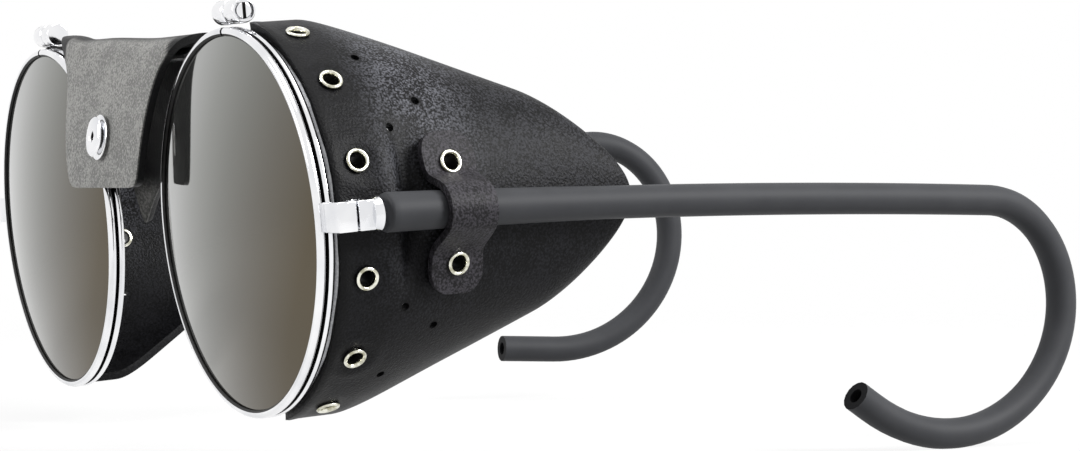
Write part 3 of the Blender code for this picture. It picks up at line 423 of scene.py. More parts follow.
# %% Cut rubber
CUT_MARK = 0.5 * MM
cut_rubber, tree, shader, where = new_material("cut_black_rubber")
torn = add(tree, "ShaderNodeTexNoise", {"Vector": where, "Scale": 1 / CUT_MARK})
black = add(tree, "ShaderNodeValToRGB", {"Fac": torn}, ((0.3, "0c0c0d"), (0.7, "17181a")))
feed(tree, shader, {"Base Color": black, "Roughness": 0.7, "Specular IOR Level": 0.15})

# %% [markdown]
# The sprung core and the wire inside the hem are drawn steel, duller than the chrome. The
# marks of the die are finer than a pixel, so they are drawn coarser, at 0.4 mm.

# %% Spring steel
DIE_MARK = 0.4 * MM
steel, tree, shader, where = new_material("drawn_spring_steel")
drawn = add(tree, "ShaderNodeTexNoise", {"Vector": where, "Scale": 1 / DIE_MARK})
dull_grey = add(tree, "ShaderNodeValToRGB", {"Fac": drawn}, ((0.3, "8a8b8e"), (0.7, "a9aaac")))
feed(tree, shader, {"Metallic": 1.0, "Base Color": dull_grey, "Roughness": 0.32})

# %% [markdown]
# Rims, eyelets and the stud are turned work, the same all the way round. They could be
# stacked from rings and tubes, but those would meet in hard seams. So a section is drawn
# corner by corner on a circle and spun about an axis, which gives one clean surface.

# %% Spinning a section
WELD = 0.001 * MM


def spun(section, steps, start=0.0, sweep=2 * pi):
    """A closed section of (radius, back) corners, spun about the y axis from the top."""
    begin()
    bpy.ops.mesh.primitive_circle_add(vertices=len(section), radius=MM)
    piece = bpy.context.object
    for corner, (radius, back) in zip(piece.data.vertices, section):
        corner.co = (radius * sin(start), back, radius * cos(start))
    bpy.ops.object.mode_set(mode="EDIT")
    bpy.ops.mesh.select_all(action="SELECT")
    bpy.ops.mesh.spin(steps=steps, angle=sweep, center=(0, 0, 0), axis=(0, 1, 0))
    bpy.ops.mesh.select_all(action="SELECT")
    bpy.ops.mesh.remove_doubles(threshold=WELD)
    bpy.ops.mesh.fill_holes(sides=0)
    bpy.ops.mesh.select_all(action="SELECT")
    bpy.ops.mesh.normals_make_consistent(inside=False)
    leave()
    return piece


print("corners within", WELD / MM, "mm are welded")

# %% [markdown]
# Each rim is a wire with two rounded ridges round its outside and a groove for the lens
# round its inside. Two thin rings would give the ridges but not the grooves, so the whole
# section is spun about the lens axis. The ring stays open by the width of the split under
# the closing block.

# %% Rims
RIM_OUTER = 27.0 * MM
RIM_INNER = 25.3 * MM
RIM_HALF_WIDTH = 1.25 * MM
FRONT_RIDGE = 0.62 * MM
REAR_RIDGE = 0.52 * MM
RIDGE_GROOVE = 0.95 * MM
GROOVE_MIDDLE = 0.07 * MM
LENS_GROOVE = 0.7 * MM
RIM_SPLIT = 0.6 * MM
RIM_STEPS = 128


def rim_section():
    """The two round ridges, and the groove that holds the lens, as (radius, back) corners."""
    section = []
    for turn in range(-60, 141, 20):
        radius = RIM_OUTER - FRONT_RIDGE + FRONT_RIDGE * sin(radians(turn))
        section.append((radius, FRONT_RIDGE - RIM_HALF_WIDTH - FRONT_RIDGE * cos(radians(turn))))
    section.append((RIM_OUTER - RIDGE_GROOVE, 0.02 * MM))
    section.append((RIM_OUTER - RIDGE_GROOVE, 0.16 * MM))
    for turn in range(40, 241, 20):
        radius = RIM_OUTER - REAR_RIDGE + REAR_RIDGE * sin(radians(turn))
        section.append((radius, RIM_HALF_WIDTH - REAR_RIDGE - REAR_RIDGE * cos(radians(turn))))
    section += [(RIM_INNER, 1.0 * MM), (RIM_INNER, 0.62 * MM)]
    return section + [(RIM_INNER + LENS_GROOVE, 0.55 * MM), (RIM_INNER + LENS_GROOVE, -0.6 * MM)]


def in_painted_shade(face):
    """True on the faces that look in towards the lens or lie deep between the ridges, which get painted
    shade.
    """
    radius = sqrt(face.center.x**2 + face.center.z**2)
    inward = (face.normal.x * face.center.x + face.normal.z * face.center.z) / radius
    deep = radius < RIM_OUTER - 0.2 * MM
    between = abs(face.center.y - GROOVE_MIDDLE) < 0.28 * MM
    return inward < -0.35 or (between and deep)


split = RIM_SPLIT / 2 / RIM_OUTER
for side, label in SIDES:
    rim = spun(rim_section(), RIM_STEPS, split, 2 * (pi - split))
    rim.data.materials.append(chrome)
    # Painted shade on the rim's faces towards the lens and deep between its ridges.
    second_material(rim, hollow_shade, in_painted_shade)
    place(rim, lens_place(side))
    dress(rim, "rim_piece_" + label, chrome, "chrome", "rim_" + label)
    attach(rim, "front")

# %% [markdown]
# A lens is a slice of a big sphere. A disc pulled up in its middle would only come near that
# curve, so a sphere is added at its true radius and cut off where it is as wide as the
# groove of the rim, and the cap is thickened backwards.

# %% Lenses
LENS_RADIUS = 25.86 * MM
LENS_SPHERE = 121.3 * MM
LENS_EDGE = -0.78 * MM
LENS_THICKNESS = 0.8 * MM
LENS_SEGMENTS = 128
LENS_RINGS = 240
lens_rise = LENS_SPHERE - sqrt(LENS_SPHERE**2 - LENS_RADIUS**2)
lens_middle = (0, LENS_EDGE - lens_rise + LENS_SPHERE, 0)

for side, label in SIDES:
    begin()
    bpy.ops.mesh.primitive_uv_sphere_add(
        segments=LENS_SEGMENTS, ring_count=LENS_RINGS, radius=LENS_SPHERE,
        location=lens_middle, rotation=(pi / 2, 0, 0),
    )
    lens = bpy.context.object
    bpy.ops.object.transform_apply(location=True, rotation=True, scale=True)
    edit(lens, lambda face: True)
    bpy.ops.mesh.bisect(plane_co=(0, LENS_EDGE, 0), plane_no=(0, 1, 0), clear_outer=True)
    leave()
    modify(lens, "SOLIDIFY", thickness=LENS_THICKNESS, offset=-1)
    lens.data.materials.append(mirror)
    second_material(lens, tint, lambda face: face.normal.y > 0.5)
    place(lens, lens_place(side))
    dress(lens, "lens_piece_" + label, mirror, "mirror_lens", "lens_" + label)
    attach(lens, "front")

# %% [markdown]
# The small fittings are cut from round and square bar, so they start as cylinders and boxes.
# Left sharp, their edges would look drawn. On the real ones the edges are broken, and catch
# a thin line of light, so each gets a small bevel.

# %% Barrels and blocks
BAR_SIDES = 48
SHARP = radians(60)


def barrel(middle, radius, length, soft):
    """A cylinder along x with softened ends."""
    begin()
    bpy.ops.mesh.primitive_cylinder_add(
        vertices=BAR_SIDES, radius=radius, depth=length, location=middle, rotation=(0, pi / 2, 0)
    )
    piece = bpy.context.object
    bpy.ops.object.transform_apply(location=True, rotation=True, scale=True)
    modify(piece, "BEVEL", width=soft, segments=3, limit_method="ANGLE", angle_limit=SHARP)
    return piece


def block(low, high, soft=0.0):
    """A box between two corners, with softened edges."""
    begin()
    low = Vector(low)
    high = Vector(high)
    bpy.ops.mesh.primitive_cube_add(size=1, location=(low + high) / 2, scale=high - low)
    piece = bpy.context.object
    bpy.ops.object.transform_apply(location=True, rotation=True, scale=True)
    if soft:
        modify(piece, "BEVEL", width=soft, segments=3)
    return piece


print("barrels have", BAR_SIDES, "sides")

# %% [markdown]
# Two barrels brazed to the rim's split ends are drawn together by one screw, which closes
# the rim on its lens. The temple-side barrel is sunk for the screw's head by an inset and
# an extrusion, which keep its faces in order. The slot runs out through the head's round
# edge, so a thin block cuts it instead.

# %% Closing blocks
CLEARANCE = 0.3 * MM
BARREL_RADIUS = 1.75 * MM
BARREL_LENGTH = 3.4 * MM
BARREL_GAP = 0.6 * MM
BARREL_SOFT = 0.2 * MM
BARREL_AXIS = Vector((0.4 * MM, 1.0 * MM, RIM_OUTER + CLEARANCE + BARREL_RADIUS))
HEAD_RADIUS = 1.15 * MM
HEAD_LENGTH = 0.9 * MM
HEAD_SOFT = 0.15 * MM
HEAD_SINK = HEAD_RADIUS + CLEARANCE
HEAD_END = BARREL_AXIS + Vector((BARREL_GAP / 2 + BARREL_LENGTH, 0, 0))
SLOT_HALF = Vector((0.35 * MM, 0.25 * MM, 2 * HEAD_RADIUS))


def temple_barrel(middle):
    """The barrel on the temple side, sunk for the screw's head."""
    piece = barrel(middle, BARREL_RADIUS, BARREL_LENGTH, BARREL_SOFT)
    edit(piece, lambda face: face.normal.x > 0.99 and face.area > 2 * MM * MM)
    bpy.ops.mesh.inset(thickness=BARREL_RADIUS - BARREL_SOFT - HEAD_SINK, depth=0)
    deep = (-HEAD_LENGTH - CLEARANCE, 0, 0)
    bpy.ops.mesh.extrude_region_move(TRANSFORM_OT_translate={"value": deep})
    leave()
    return piece


def slotted_head():
    """The screw's head, with painted shade in its slot."""
    head = barrel(HEAD_END - Vector((HEAD_LENGTH / 2, 0, 0)), HEAD_RADIUS, HEAD_LENGTH, HEAD_SOFT)
    boolean(head, block(HEAD_END - SLOT_HALF, HEAD_END + SLOT_HALF), "DIFFERENCE")
    head.data.materials.append(chrome)
    middle = HEAD_END.y
    end = HEAD_END.x - 0.01 * MM
    # Painted shade in the slot.
    second_material(
        head, hollow_shade, lambda face: abs(face.center.y - middle) < 0.26 * MM and face.center.x < end
    )
    return head


shift = Vector(((BARREL_GAP + BARREL_LENGTH) / 2, 0, 0))
for side, label in SIDES:
    nasal = barrel(BARREL_AXIS - shift, BARREL_RADIUS, BARREL_LENGTH, BARREL_SOFT)
    place(nasal, lens_place(side))
    dress(nasal, "barrel_nasal_piece_" + label, chrome, "chrome", "closing_barrel_nasal_" + label)
    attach(nasal, "front")
    outer = temple_barrel(BARREL_AXIS + shift)
    place(outer, lens_place(side))
    dress(outer, "barrel_temple_piece_" + label, chrome, "chrome", "closing_barrel_temple_" + label)
    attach(outer, "front")
    head = slotted_head()
    place(head, lens_place(side))
    dress(head, "closing_screw_piece_" + label, chrome, "chrome", "closing_screw_" + label)
    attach(head, "front")

# %% [markdown]
# The hinge is three blocks of chrome: the end piece soldered to the rim, the lug on the
# temple, and the flared collar that leads into the rubber. The end piece and the lug meet
# on a flat, and their round knuckles share one screw behind it. All their faces are flat or
# round and the cuts run through several blocks at once, so boxes and upright cylinders are
# joined and cut, rather than extruded face by face.

# %% Hinge measures
HINGE_OUT = 29.9 * MM
HINGE_BACK = 3.1 * MM
HINGE_HEIGHT = 1.0 * MM
HINGE_SEAM = HINGE_BACK - 1.0 * MM
END_OUT = 32.6 * MM
END_HALF = 2.0 * MM
END_LOW = HINGE_HEIGHT - END_HALF
END_HIGH = HINGE_HEIGHT + END_HALF
BLOCK_SOFT = 0.18 * MM
KNUCKLE = 1.25 * MM
KNUCKLE_GAP = 0.65 * MM
PIN = 0.6 * MM
THROUGH = 9 * MM
HINGE_SIDES = 40


def upright(radius, low, high):
    """A cylinder on the hinge's axis, between two heights from its middle."""
    begin()
    middle = (HINGE_OUT, HINGE_BACK, HINGE_HEIGHT + (low + high) / 2)
    bpy.ops.mesh.primitive_cylinder_add(
        vertices=HINGE_SIDES, radius=radius, depth=high - low, location=middle
    )
    piece = bpy.context.object
    bpy.ops.object.transform_apply(location=True, rotation=True, scale=True)
    return piece


print("hinge axis", round(HINGE_OUT / MM, 1), "mm out from the lens")

# %% [markdown]
# The end piece reaches over the hem of the shield. Its foot is cut round where it meets the
# rim, so that the two touch without a gap.

# %% End piece
END_FRONT = -0.75 * MM
SHIELD_RADIUS = 27.7 * MM
FOOT_STEP = 0.1 * MM
RIM_FIT = RIM_OUTER + 0.02 * MM
RIM_FIT_DEPTH = 8 * MM
RIM_FIT_SIDES = 256


def end_piece():
    under = SHIELD_RADIUS + CLEARANCE
    back = HINGE_SEAM - CLEARANCE / 2
    piece = block((under, END_FRONT, END_LOW), (END_OUT, back, END_HIGH), BLOCK_SOFT)
    foot_low = (RIM_OUTER - 4 * CLEARANCE, END_FRONT + FOOT_STEP, END_LOW + FOOT_STEP)
    foot_high = (under + CLEARANCE, RIM_HALF_WIDTH, END_HIGH - FOOT_STEP)
    boolean(piece, block(foot_low, foot_high), "UNION")
    boolean(piece, upright(KNUCKLE, -END_HALF, END_HALF), "UNION")
    begin()
    bpy.ops.mesh.primitive_cylinder_add(
        vertices=RIM_FIT_SIDES, radius=RIM_FIT, depth=RIM_FIT_DEPTH, rotation=(pi / 2, 0, 0)
    )
    rim_cut = bpy.context.object
    bpy.ops.object.transform_apply(location=True, rotation=True, scale=True)
    boolean(piece, rim_cut, "DIFFERENCE")
    slot_half = KNUCKLE_GAP + CLEARANCE
    boolean(piece, upright(KNUCKLE + CLEARANCE, -slot_half, slot_half), "DIFFERENCE")
    boolean(piece, upright(PIN + CLEARANCE, -THROUGH, THROUGH), "DIFFERENCE")
    return piece


print("end piece", round((END_HIGH - END_LOW) / MM, 1), "mm high")

# %% [markdown]
# The lug turns about the screw with its one middle knuckle, so it is relieved above and
# below that for the two knuckles of the end piece. The collar is a cone that joins it to
# the tube.

# %% Temple lug
LUG_BACK = HINGE_SEAM + 2.45 * MM
COLLAR_BACK = LUG_BACK + 1.0 * MM
COLLAR_OVERLAP = 0.2 * MM
COLLAR_RADII = (2.4 * MM, 1.95 * MM)
COLLAR_SOFT = 0.15 * MM
SLEEVE_OUT = (HINGE_OUT + END_OUT) / 2


def collar():
    begin()
    wide, narrow = COLLAR_RADII
    middle = (SLEEVE_OUT, (LUG_BACK + COLLAR_BACK - COLLAR_OVERLAP) / 2, HINGE_HEIGHT)
    length = COLLAR_BACK - LUG_BACK + COLLAR_OVERLAP
    bpy.ops.mesh.primitive_cone_add(
        vertices=BAR_SIDES, radius1=wide, radius2=narrow, depth=length,
        location=middle, rotation=(pi / 2, 0, 0),
    )
    piece = bpy.context.object
    bpy.ops.object.transform_apply(location=True, rotation=True, scale=True)
    modify(piece, "BEVEL", width=COLLAR_SOFT, segments=3, limit_method="ANGLE", angle_limit=SHARP)
    return piece


def temple_lug():
    front = HINGE_SEAM + CLEARANCE / 2
    piece = block((HINGE_OUT, front, END_LOW), (END_OUT, LUG_BACK, END_HIGH), BLOCK_SOFT)
    boolean(piece, upright(KNUCKLE, -KNUCKLE_GAP, KNUCKLE_GAP), "UNION")
    boolean(piece, collar(), "UNION")
    relief = KNUCKLE + CLEARANCE
    boolean(piece, upright(relief, KNUCKLE_GAP, 5 * MM), "DIFFERENCE")
    boolean(piece, upright(relief, -5 * MM, -KNUCKLE_GAP), "DIFFERENCE")
    boolean(piece, upright(PIN + CLEARANCE, -THROUGH, THROUGH), "DIFFERENCE")
    return piece


print("lug and collar", round((COLLAR_BACK - HINGE_SEAM) / MM, 2), "mm long")

# %% [markdown]
# One slotted screw holds each hinge together. It ends almost flush with the end piece. The
# three pieces are then made for each side and handed to the bodies that they move with.

# %% Hinges
SCREW_TOP = END_HALF + 0.1 * MM
SCREW_SOFT = 0.1 * MM
SCREW_SLOT = Vector((2 * MM, 0.18 * MM, 0.3 * MM))


def hinge_screw():
    piece = upright(PIN, -END_HALF, SCREW_TOP)
    modify(piece, "BEVEL", width=SCREW_SOFT, segments=2, limit_method="ANGLE", angle_limit=SHARP)
    top = Vector((HINGE_OUT, HINGE_BACK, HINGE_HEIGHT + SCREW_TOP))
    boolean(piece, block(top - SCREW_SLOT, top + SCREW_SLOT), "DIFFERENCE")
    return piece


for side, label in SIDES:
    for piece, name, body in (
        (end_piece(), "end_piece", "front"),
        (hinge_screw(), "hinge_screw", "front"),
        (temple_lug(), "temple_lug", "temple_" + label),
    ):
        place(piece, lens_place(side))
        dress(piece, name + "_piece_" + label, chrome, "chrome", name + "_" + label)
        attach(piece, body)

# %% [markdown]
# Each temple is a sprung cable in a rubber tube. The cable leaves the collar almost
# straight, then curls round the ear, and every wearer bends the two sides differently. Its
# line could be drawn by hand, but a few measures of each side, such as the length of the
# straight run and three radii of the curl, give a smooth line that is easy to correct.

# %% Cable routes
TEMPLE_TOE = radians(5.3)
SLEEVE_START = HINGE_BACK + 4.55 * MM
# Drop and bow in degrees, straight run in mm, three curl radii in mm, sweep in degrees, tail in mm
CABLES = {
    "left": (-2.53, 3.6, 103.7, (14.7, 16.2, 31.7), 210.5, 3.4),
    "right": (1.25, 0.0, 99.2, (12.7, 18.4, 24.0), 188.0, 10.0),
}
STRAIGHT_STEPS = 36
CURL_STEPS = 60
TAIL_STEPS = 4


def cable_route(drop, bow, straight, radii, sweep, tail):
    """Points along the cable's centre line, from the front end of the sleeve to its tip."""
    heading = Vector((-sin(TEMPLE_TOE), cos(TEMPLE_TOE), 0))
    points = [Vector((SLEEVE_OUT, SLEEVE_START, HINGE_HEIGHT))]

    def advance(pitch, length):
        pitch = radians(pitch)
        points.append(points[-1] + (heading * cos(pitch) + Vector((0, 0, sin(pitch)))) * length)

    for step in range(STRAIGHT_STEPS):
        advance(drop - bow * (step + 0.5) / STRAIGHT_STEPS, straight * MM / STRAIGHT_STEPS)
    first, middle, last = radii
    for step in range(CURL_STEPS):
        share = 2 * (step + 0.5) / CURL_STEPS
        if share < 1:
            radius = first + (middle - first) * share
        else:
            radius = middle + (last - middle) * (share - 1)
        advance(drop - bow - sweep * share / 2, radius * MM * radians(sweep) / CURL_STEPS)
    for step in range(TAIL_STEPS):
        advance(drop - bow - sweep, tail * MM / TAIL_STEPS)
    return points


for label, bends in CABLES.items():
    print("cable", label, len(cable_route(*bends)), "points")

# %% [markdown]
# A path is laid along the cable's centre line, swelled to the tube's radius at each point
# and made a mesh. That follows the bends better than a row of extrusions. The tip is then
# bored, because the tube is open there, and its cut end keeps the rubber's black.

# %% Temple sleeves
SLEEVE_FRONT_RADIUS = 2.65 * MM
SLEEVE_REAR_RADIUS = 2.28 * MM
SLEEVE_TAPER = 35 * MM
SLEEVE_LIP = (-1.4, -1.32, -1.2, -1.0, 0)
LIP_ROUND = 0.4 * MM
SLEEVE_BORE = 1.1 * MM
TIP_DEPTH = 3 * MM
PATH_CUTS = 25
TUBE_ROUNDING = 6
PEG_SIDES = 24


def pegs(places, radius, reach):
    """Cylinders standing on the given (point, normal) places, joined to one cutter."""
    begin()
    made = []
    for point, normal in places:
        turn = normal.to_track_quat("Z", "Y").to_euler()
        bpy.ops.mesh.primitive_cylinder_add(
            vertices=PEG_SIDES, radius=radius, depth=reach, location=point, rotation=turn
        )
        made.append(bpy.context.object)
    for peg in made:
        peg.select_set(True)
    if len(made) > 1:
        bpy.ops.object.join()
    bpy.ops.object.transform_apply(location=True, rotation=True, scale=True)
    return bpy.context.object


def sleeve_radius(run):
    """The tube tapers over its first stretch, and its front edge is rounded."""
    share = min(1.0, run / SLEEVE_TAPER)
    rounded = LIP_ROUND * max(0.0, 1 - run / LIP_ROUND) ** 2
    return SLEEVE_FRONT_RADIUS + (SLEEVE_REAR_RADIUS - SLEEVE_FRONT_RADIUS) * share - rounded


def tube(route):
    """A mesh tube along a route, tapered and closed at its ends."""
    begin()
    bpy.ops.curve.primitive_nurbs_path_add()
    path = bpy.context.object
    bpy.ops.object.mode_set(mode="EDIT")
    bpy.ops.curve.subdivide(number_cuts=PATH_CUTS)
    bpy.ops.curve.spline_type_set(type="POLY")
    leave()
    points = path.data.splines[0].points
    run = 0.0
    for index, point in enumerate(points):
        spot = route[min(index, len(route) - 1)]
        if index:
            run += (spot - route[min(index - 1, len(route) - 1)]).length
        point.co = (*spot, 1)
        point.radius = sleeve_radius(run) / MM
    print("path points", len(points), "route", len(route), "length", round(run / MM, 1), "mm")
    path.data.bevel_depth = MM
    path.data.bevel_resolution = TUBE_ROUNDING
    path.data.use_fill_caps = True
    bpy.ops.object.convert(target="MESH")
    piece = bpy.context.object
    edit(piece, lambda face: True)
    bpy.ops.mesh.remove_doubles(threshold=2 * WELD)
    leave()
    return piece


def at_cut_end(face, tip, along):
    """Whether a face lies on the cut across the tube at its tip, or in the bore behind it."""
    reach = face.center - tip
    near = reach.length < SLEEVE_REAR_RADIUS + 0.5 * MM
    off_axis = (reach - along * reach.dot(along)).length
    return near and (face.normal.dot(along) > 0.9 or off_axis < SLEEVE_BORE + 0.05 * MM)


def sleeve(route):
    first = route[0]
    ahead = (route[1] - first).normalized()
    piece = tube([first + ahead * run * MM for run in SLEEVE_LIP] + route[1:])
    tip = route[-1]
    along = (tip - route[-2]).normalized()
    boolean(piece, pegs([(tip, along)], SLEEVE_BORE, 2 * TIP_DEPTH), "DIFFERENCE")
    piece.data.materials.append(rubber)
    second_material(piece, cut_rubber, lambda face: at_cut_end(face, tip, along))
    return piece


for side, label in SIDES:
    hose = sleeve(cable_route(*CABLES[label]))
    place(hose, lens_place(side), 50)
    dress(hose, "temple_sleeve_piece_" + label, rubber, "black_rubber", "temple_sleeve_" + label)
    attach(hose, "temple_" + label)

# %% [markdown]
# The leather shield starts as a hem wrapped round the rim and runs back to a rounded tip
# under the temple. Sculpting would give such a form, but not twice alike and not to size.
# So the plain surface is a rule: a part of a cylinder at the hem that flattens on its way to
# the tip. Any point of it can be found from its place along the shield and across it, and
# rivets and vents find their places in the same way.

# %% Shield surface
SHIELD_TOP = radians(81)
SHIELD_BOTTOM = radians(79)
HEM_END = 8.3 * MM
SHIELD_REACH = 47.8 * MM
TIP_START = 34.5 * MM
TIP_HEIGHT = 8.8 * MM
SHIELD_EASE = 0.08
EYELET_BACK = 5.4 * MM


def temple_inside(back):
    """How far out the inner side of the sleeve lies."""
    return SLEEVE_OUT - tan(TEMPLE_TOE) * (back - SLEEVE_START) - SLEEVE_FRONT_RADIUS - 2 * CLEARANCE


def shield_share(back):
    """0 in the hem and 1 at the tip, with an eased start."""
    share = max(0.0, (back - HEM_END) / (SHIELD_REACH - HEM_END))
    whole = sqrt(1 + SHIELD_EASE**2) - SHIELD_EASE
    return (sqrt(share * share + SHIELD_EASE**2) - SHIELD_EASE) / whole


def shield_edge(back, limit):
    """The half height of the shield."""
    top = SHIELD_RADIUS * sin(limit)
    height = top + (TIP_HEIGHT - top) * shield_share(back)
    if back > TIP_START:
        height *= sqrt(max(0.0, 1 - ((back - TIP_START) / (SHIELD_REACH - TIP_START)) ** 2))
    return height


def shield_point(across, back):
    """A point of the outer face. across runs from -1 at the lower edge to 1 at the upper."""
    limit = SHIELD_TOP if across >= 0 else SHIELD_BOTTOM
    angle = across * limit
    share = shield_share(back)
    out = SHIELD_RADIUS * cos(angle) * (1 - share) + temple_inside(SHIELD_REACH) * share
    return Vector((out, back, shield_edge(back, limit) * sin(angle) / sin(limit)))


def shield_normal(across, back):
    run = shield_point(across + 0.01, back) - shield_point(across - 0.01, back)
    rise = shield_point(across, back + CLEARANCE) - shield_point(across, back - CLEARANCE)
    return rise.cross(run).normalized()


def shield_spot(back, height):
    """The point and the normal of the outer face at a height."""
    limit = SHIELD_TOP if height >= 0 else SHIELD_BOTTOM
    across = asin(height * sin(limit) / shield_edge(back, limit)) / limit
    return shield_point(across, back), shield_normal(across, back)


def hem_spot(degrees_round):
    """The point and the normal of the hem under one of its eyelets."""
    normal = Vector((cos(radians(degrees_round)), 0, sin(radians(degrees_round))))
    return normal * SHIELD_RADIUS + Vector((0, EYELET_BACK, 0)), normal


print("shield tip", [round(value / MM, 1) for value in shield_point(0, SHIELD_REACH)])

# %% [markdown]
# Leather under rivets is never plain. The front edge swells into a bead, the hem is drawn
# in round every eyelet, and between the two middle vents the leather gives way in a soft
# fold, which is where it bends when the temple closes. Each of these is a smooth bump or dip
# that is added along the normal, so the sheet keeps its thickness.

# %% Bead, dimples and fold
EYELET_ANGLES = (66.0, 42.3, 16.6, -15.8, -41.3, -66.5)
FOLD_REACH = 13 * MM
FOLD_EDGES = ((10.2 * MM, 12.2 * MM), (12.8 * MM, 18 * MM))
# Rises and dips in mm, with their places and widths
BEAD_RISE = 0.12
BEAD_BACK = 2.4 * MM
BEAD_WIDTH = 0.5 * MM
PUCKER_RISE = 0.16
PUCKER_RADIUS = 3.3 * MM
PUCKER_WIDTH = 1.0 * MM
DIMPLE_DEPTH = 0.3
DIMPLE_WIDTH = 1.9 * MM
END_PULL = 0.4
LIP_RISE = 0.3
LIP_BACK = 9.2 * MM
LIP_WIDTH = 1.4 * MM
FOLD_DEPTH = 1.7
RIPPLE_RISE = 0.1
RIPPLE_LENGTH = 2.6 * MM
RIPPLE_BACK = 16 * MM
RIPPLE_REACH = 9 * MM


def hump(distance, width):
    return exp(-((distance / width) ** 2))


def step_up(value, low, high):
    """A smooth rise from 0 at low to 1 at high."""
    share = min(1.0, max(0.0, (value - low) / (high - low)))
    return share * share * (3 - 2 * share)


def fold_give(point):
    """1 beside the hinge, falling to 0 where the fold runs out above and below it."""
    return max(0.0, 1 - ((point.z - HINGE_HEIGHT) / FOLD_REACH) ** 2)


def fold_dip(back):
    down, up = FOLD_EDGES
    return step_up(back, *down) * (1 - step_up(back, *up))


def shield_swell(point):
    """How far the leather stands out from its plain surface, or in where it is below zero."""
    back = point.y
    swell = BEAD_RISE * hump(back - BEAD_BACK, BEAD_WIDTH)
    for turn in EYELET_ANGLES:
        distance = (point - hem_spot(turn)[0]).length
        pull = END_PULL if abs(turn) > 60 else 1.0
        pucker = PUCKER_RISE * hump(distance - PUCKER_RADIUS, PUCKER_WIDTH)
        swell += pull * (pucker - DIMPLE_DEPTH * hump(distance, DIMPLE_WIDTH))
    fold = LIP_RISE * hump(back - LIP_BACK, LIP_WIDTH) - FOLD_DEPTH * fold_dip(back)
    swell += fold_give(point) ** 1.5 * fold
    swell += RIPPLE_RISE * sin(point.z / RIPPLE_LENGTH) * hump(back - RIPPLE_BACK, RIPPLE_REACH)
    return swell * MM


print("deepest dip", round(shield_swell(shield_spot(12.5 * MM, HINGE_HEIGHT)[0]) / MM, 2), "mm")

# %% [markdown]
# A shade is written on every corner of the leather meshes. The material turns black where
# the shade is zero: along the front edge, and as painted shade down in the fold and in the
# vents, where the lamps alone would not darken them enough.

# %% Shades
VENTS = ((10.7, 21.4), (16.7, 15.1), (11.5, 12.0))
VENT_RADIUS = 0.6 * MM
EDGE_BLACKENED = (2.5 * MM, 3.6 * MM)
vent_spots = [shield_spot(back * MM, way * height * MM) for back, height in VENTS for way in (1, -1)]


def shade_corners(piece, rule):
    """Write a shade from 0 to 1 on every corner of a mesh."""
    shades = [rule(corner) for corner in piece.data.vertices]
    piece.data.attributes.new("shade", "FLOAT", "POINT").data.foreach_set("value", shades)


def shield_shade(corner):
    point = corner.co
    # Black along the front edge, painted shade down in the fold and around the vents.
    shade = step_up(point.y, *EDGE_BLACKENED) * (1 - 0.9 * fold_dip(point.y) * sqrt(fold_give(point)))
    near = min((point - spot).length for spot, normal in vent_spots)
    return shade * step_up(near, VENT_RADIUS + 0.1 * MM, VENT_RADIUS + 0.5 * MM)


print("vents", len(vent_spots), "on each shield")

# %% [markdown]
# When a temple folds, the leather behind the hinge goes with it and the hem stays on the
# rim. Here only the direction of a crease beside the hinge is worked out, and the sheet is
# not blended between the two bodies. The hinge's axis lies outside the leather, so the
# leather right under the temple would be pushed through it. It is cut away there, under the
# blocks and the front of the sleeve, where the cut is hidden from outside.

# %% Room for the fold
# Direction of the crease, and its start and end along it in mm
CREASES = {"left": ((1, 0.68, 0.03), -2.2, 2.8), "right": ((1, 0.54, 0.02), -1.6, 0.8)}
# Two openings, each from (front, low) to (back, high) in mm
FOLD_ROOM = (((-1.9, -1.05), (5.6, 2.7)), ((5.0, -1.6), (10.8, 3.0)))


def bend_with_temple(piece, side, label):
    """Works out the crease's direction and puts the piece's place into its mesh; the sheet is not bent.
    """
    (out, back, up), start, end = CREASES[label]
    along = Vector((side * out, back, up))
    along *= MM / along.length_squared
    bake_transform(piece)


def cut_fold_room(piece):
    """Cut the leather away under the hinge and the front of the sleeve, where the temple folds in."""
    for (front, low), (back, high) in FOLD_ROOM:
        near = Vector((HINGE_OUT - 9 * MM, HINGE_BACK + front * MM, low * MM))
        far = Vector((HINGE_OUT + MM, HINGE_BACK + back * MM, high * MM))
        boolean(piece, block(near, far, MM), "DIFFERENCE")


print("fold room of", len(FOLD_ROOM), "openings in each sheet")

# %% [markdown]
# Now the shield itself. A flat grid is bent onto the surface, given the leather's
# thickness and softened at its cut edges, and the holes are punched through it: six hem
# eyelets, two strap eyelets and six vents. Modelling the holes into the grid would tie its
# rows to them, so pegs cut them instead.

# %% Shields
SHIELD_FRONT = RIM_HALF_WIDTH + CLEARANCE
SHIELD_GRID = (96, 84)
TIP_SHARE = 0.62
LEATHER = 1.3 * MM
LEATHER_SOFT = 0.25 * MM
STRAP_BACK = 18.4 * MM
STRAP_LOWERED = 0.6 * MM
STRAP_RISE = 6.4 * MM
HOLE_RADIUS = 1.3 * MM
PUNCH = 9 * MM


def bent_grid(columns, rows, shape):
    """A grid whose corners are moved by shape(x, y), with x and y from -1 to 1."""
    begin()
    bpy.ops.mesh.primitive_grid_add(x_subdivisions=columns, y_subdivisions=rows, size=2)
    piece = bpy.context.object
    for corner in piece.data.vertices:
        corner.co = shape(corner.co.x, corner.co.y)
    return piece


def cut_leather(piece):
    """Give a bent sheet its thickness, and soften its cut edges."""
    modify(piece, "SOLIDIFY", thickness=LEATHER, offset=-1, use_even_offset=True)
    sharp = radians(50)
    modify(piece, "BEVEL", width=LEATHER_SOFT, segments=2, limit_method="ANGLE", angle_limit=sharp)


def cable_height(back, drop):
    """The height of the cable's centre line beside the strap."""
    return HINGE_HEIGHT + tan(radians(drop)) * (back - SLEEVE_START) / cos(TEMPLE_TOE)


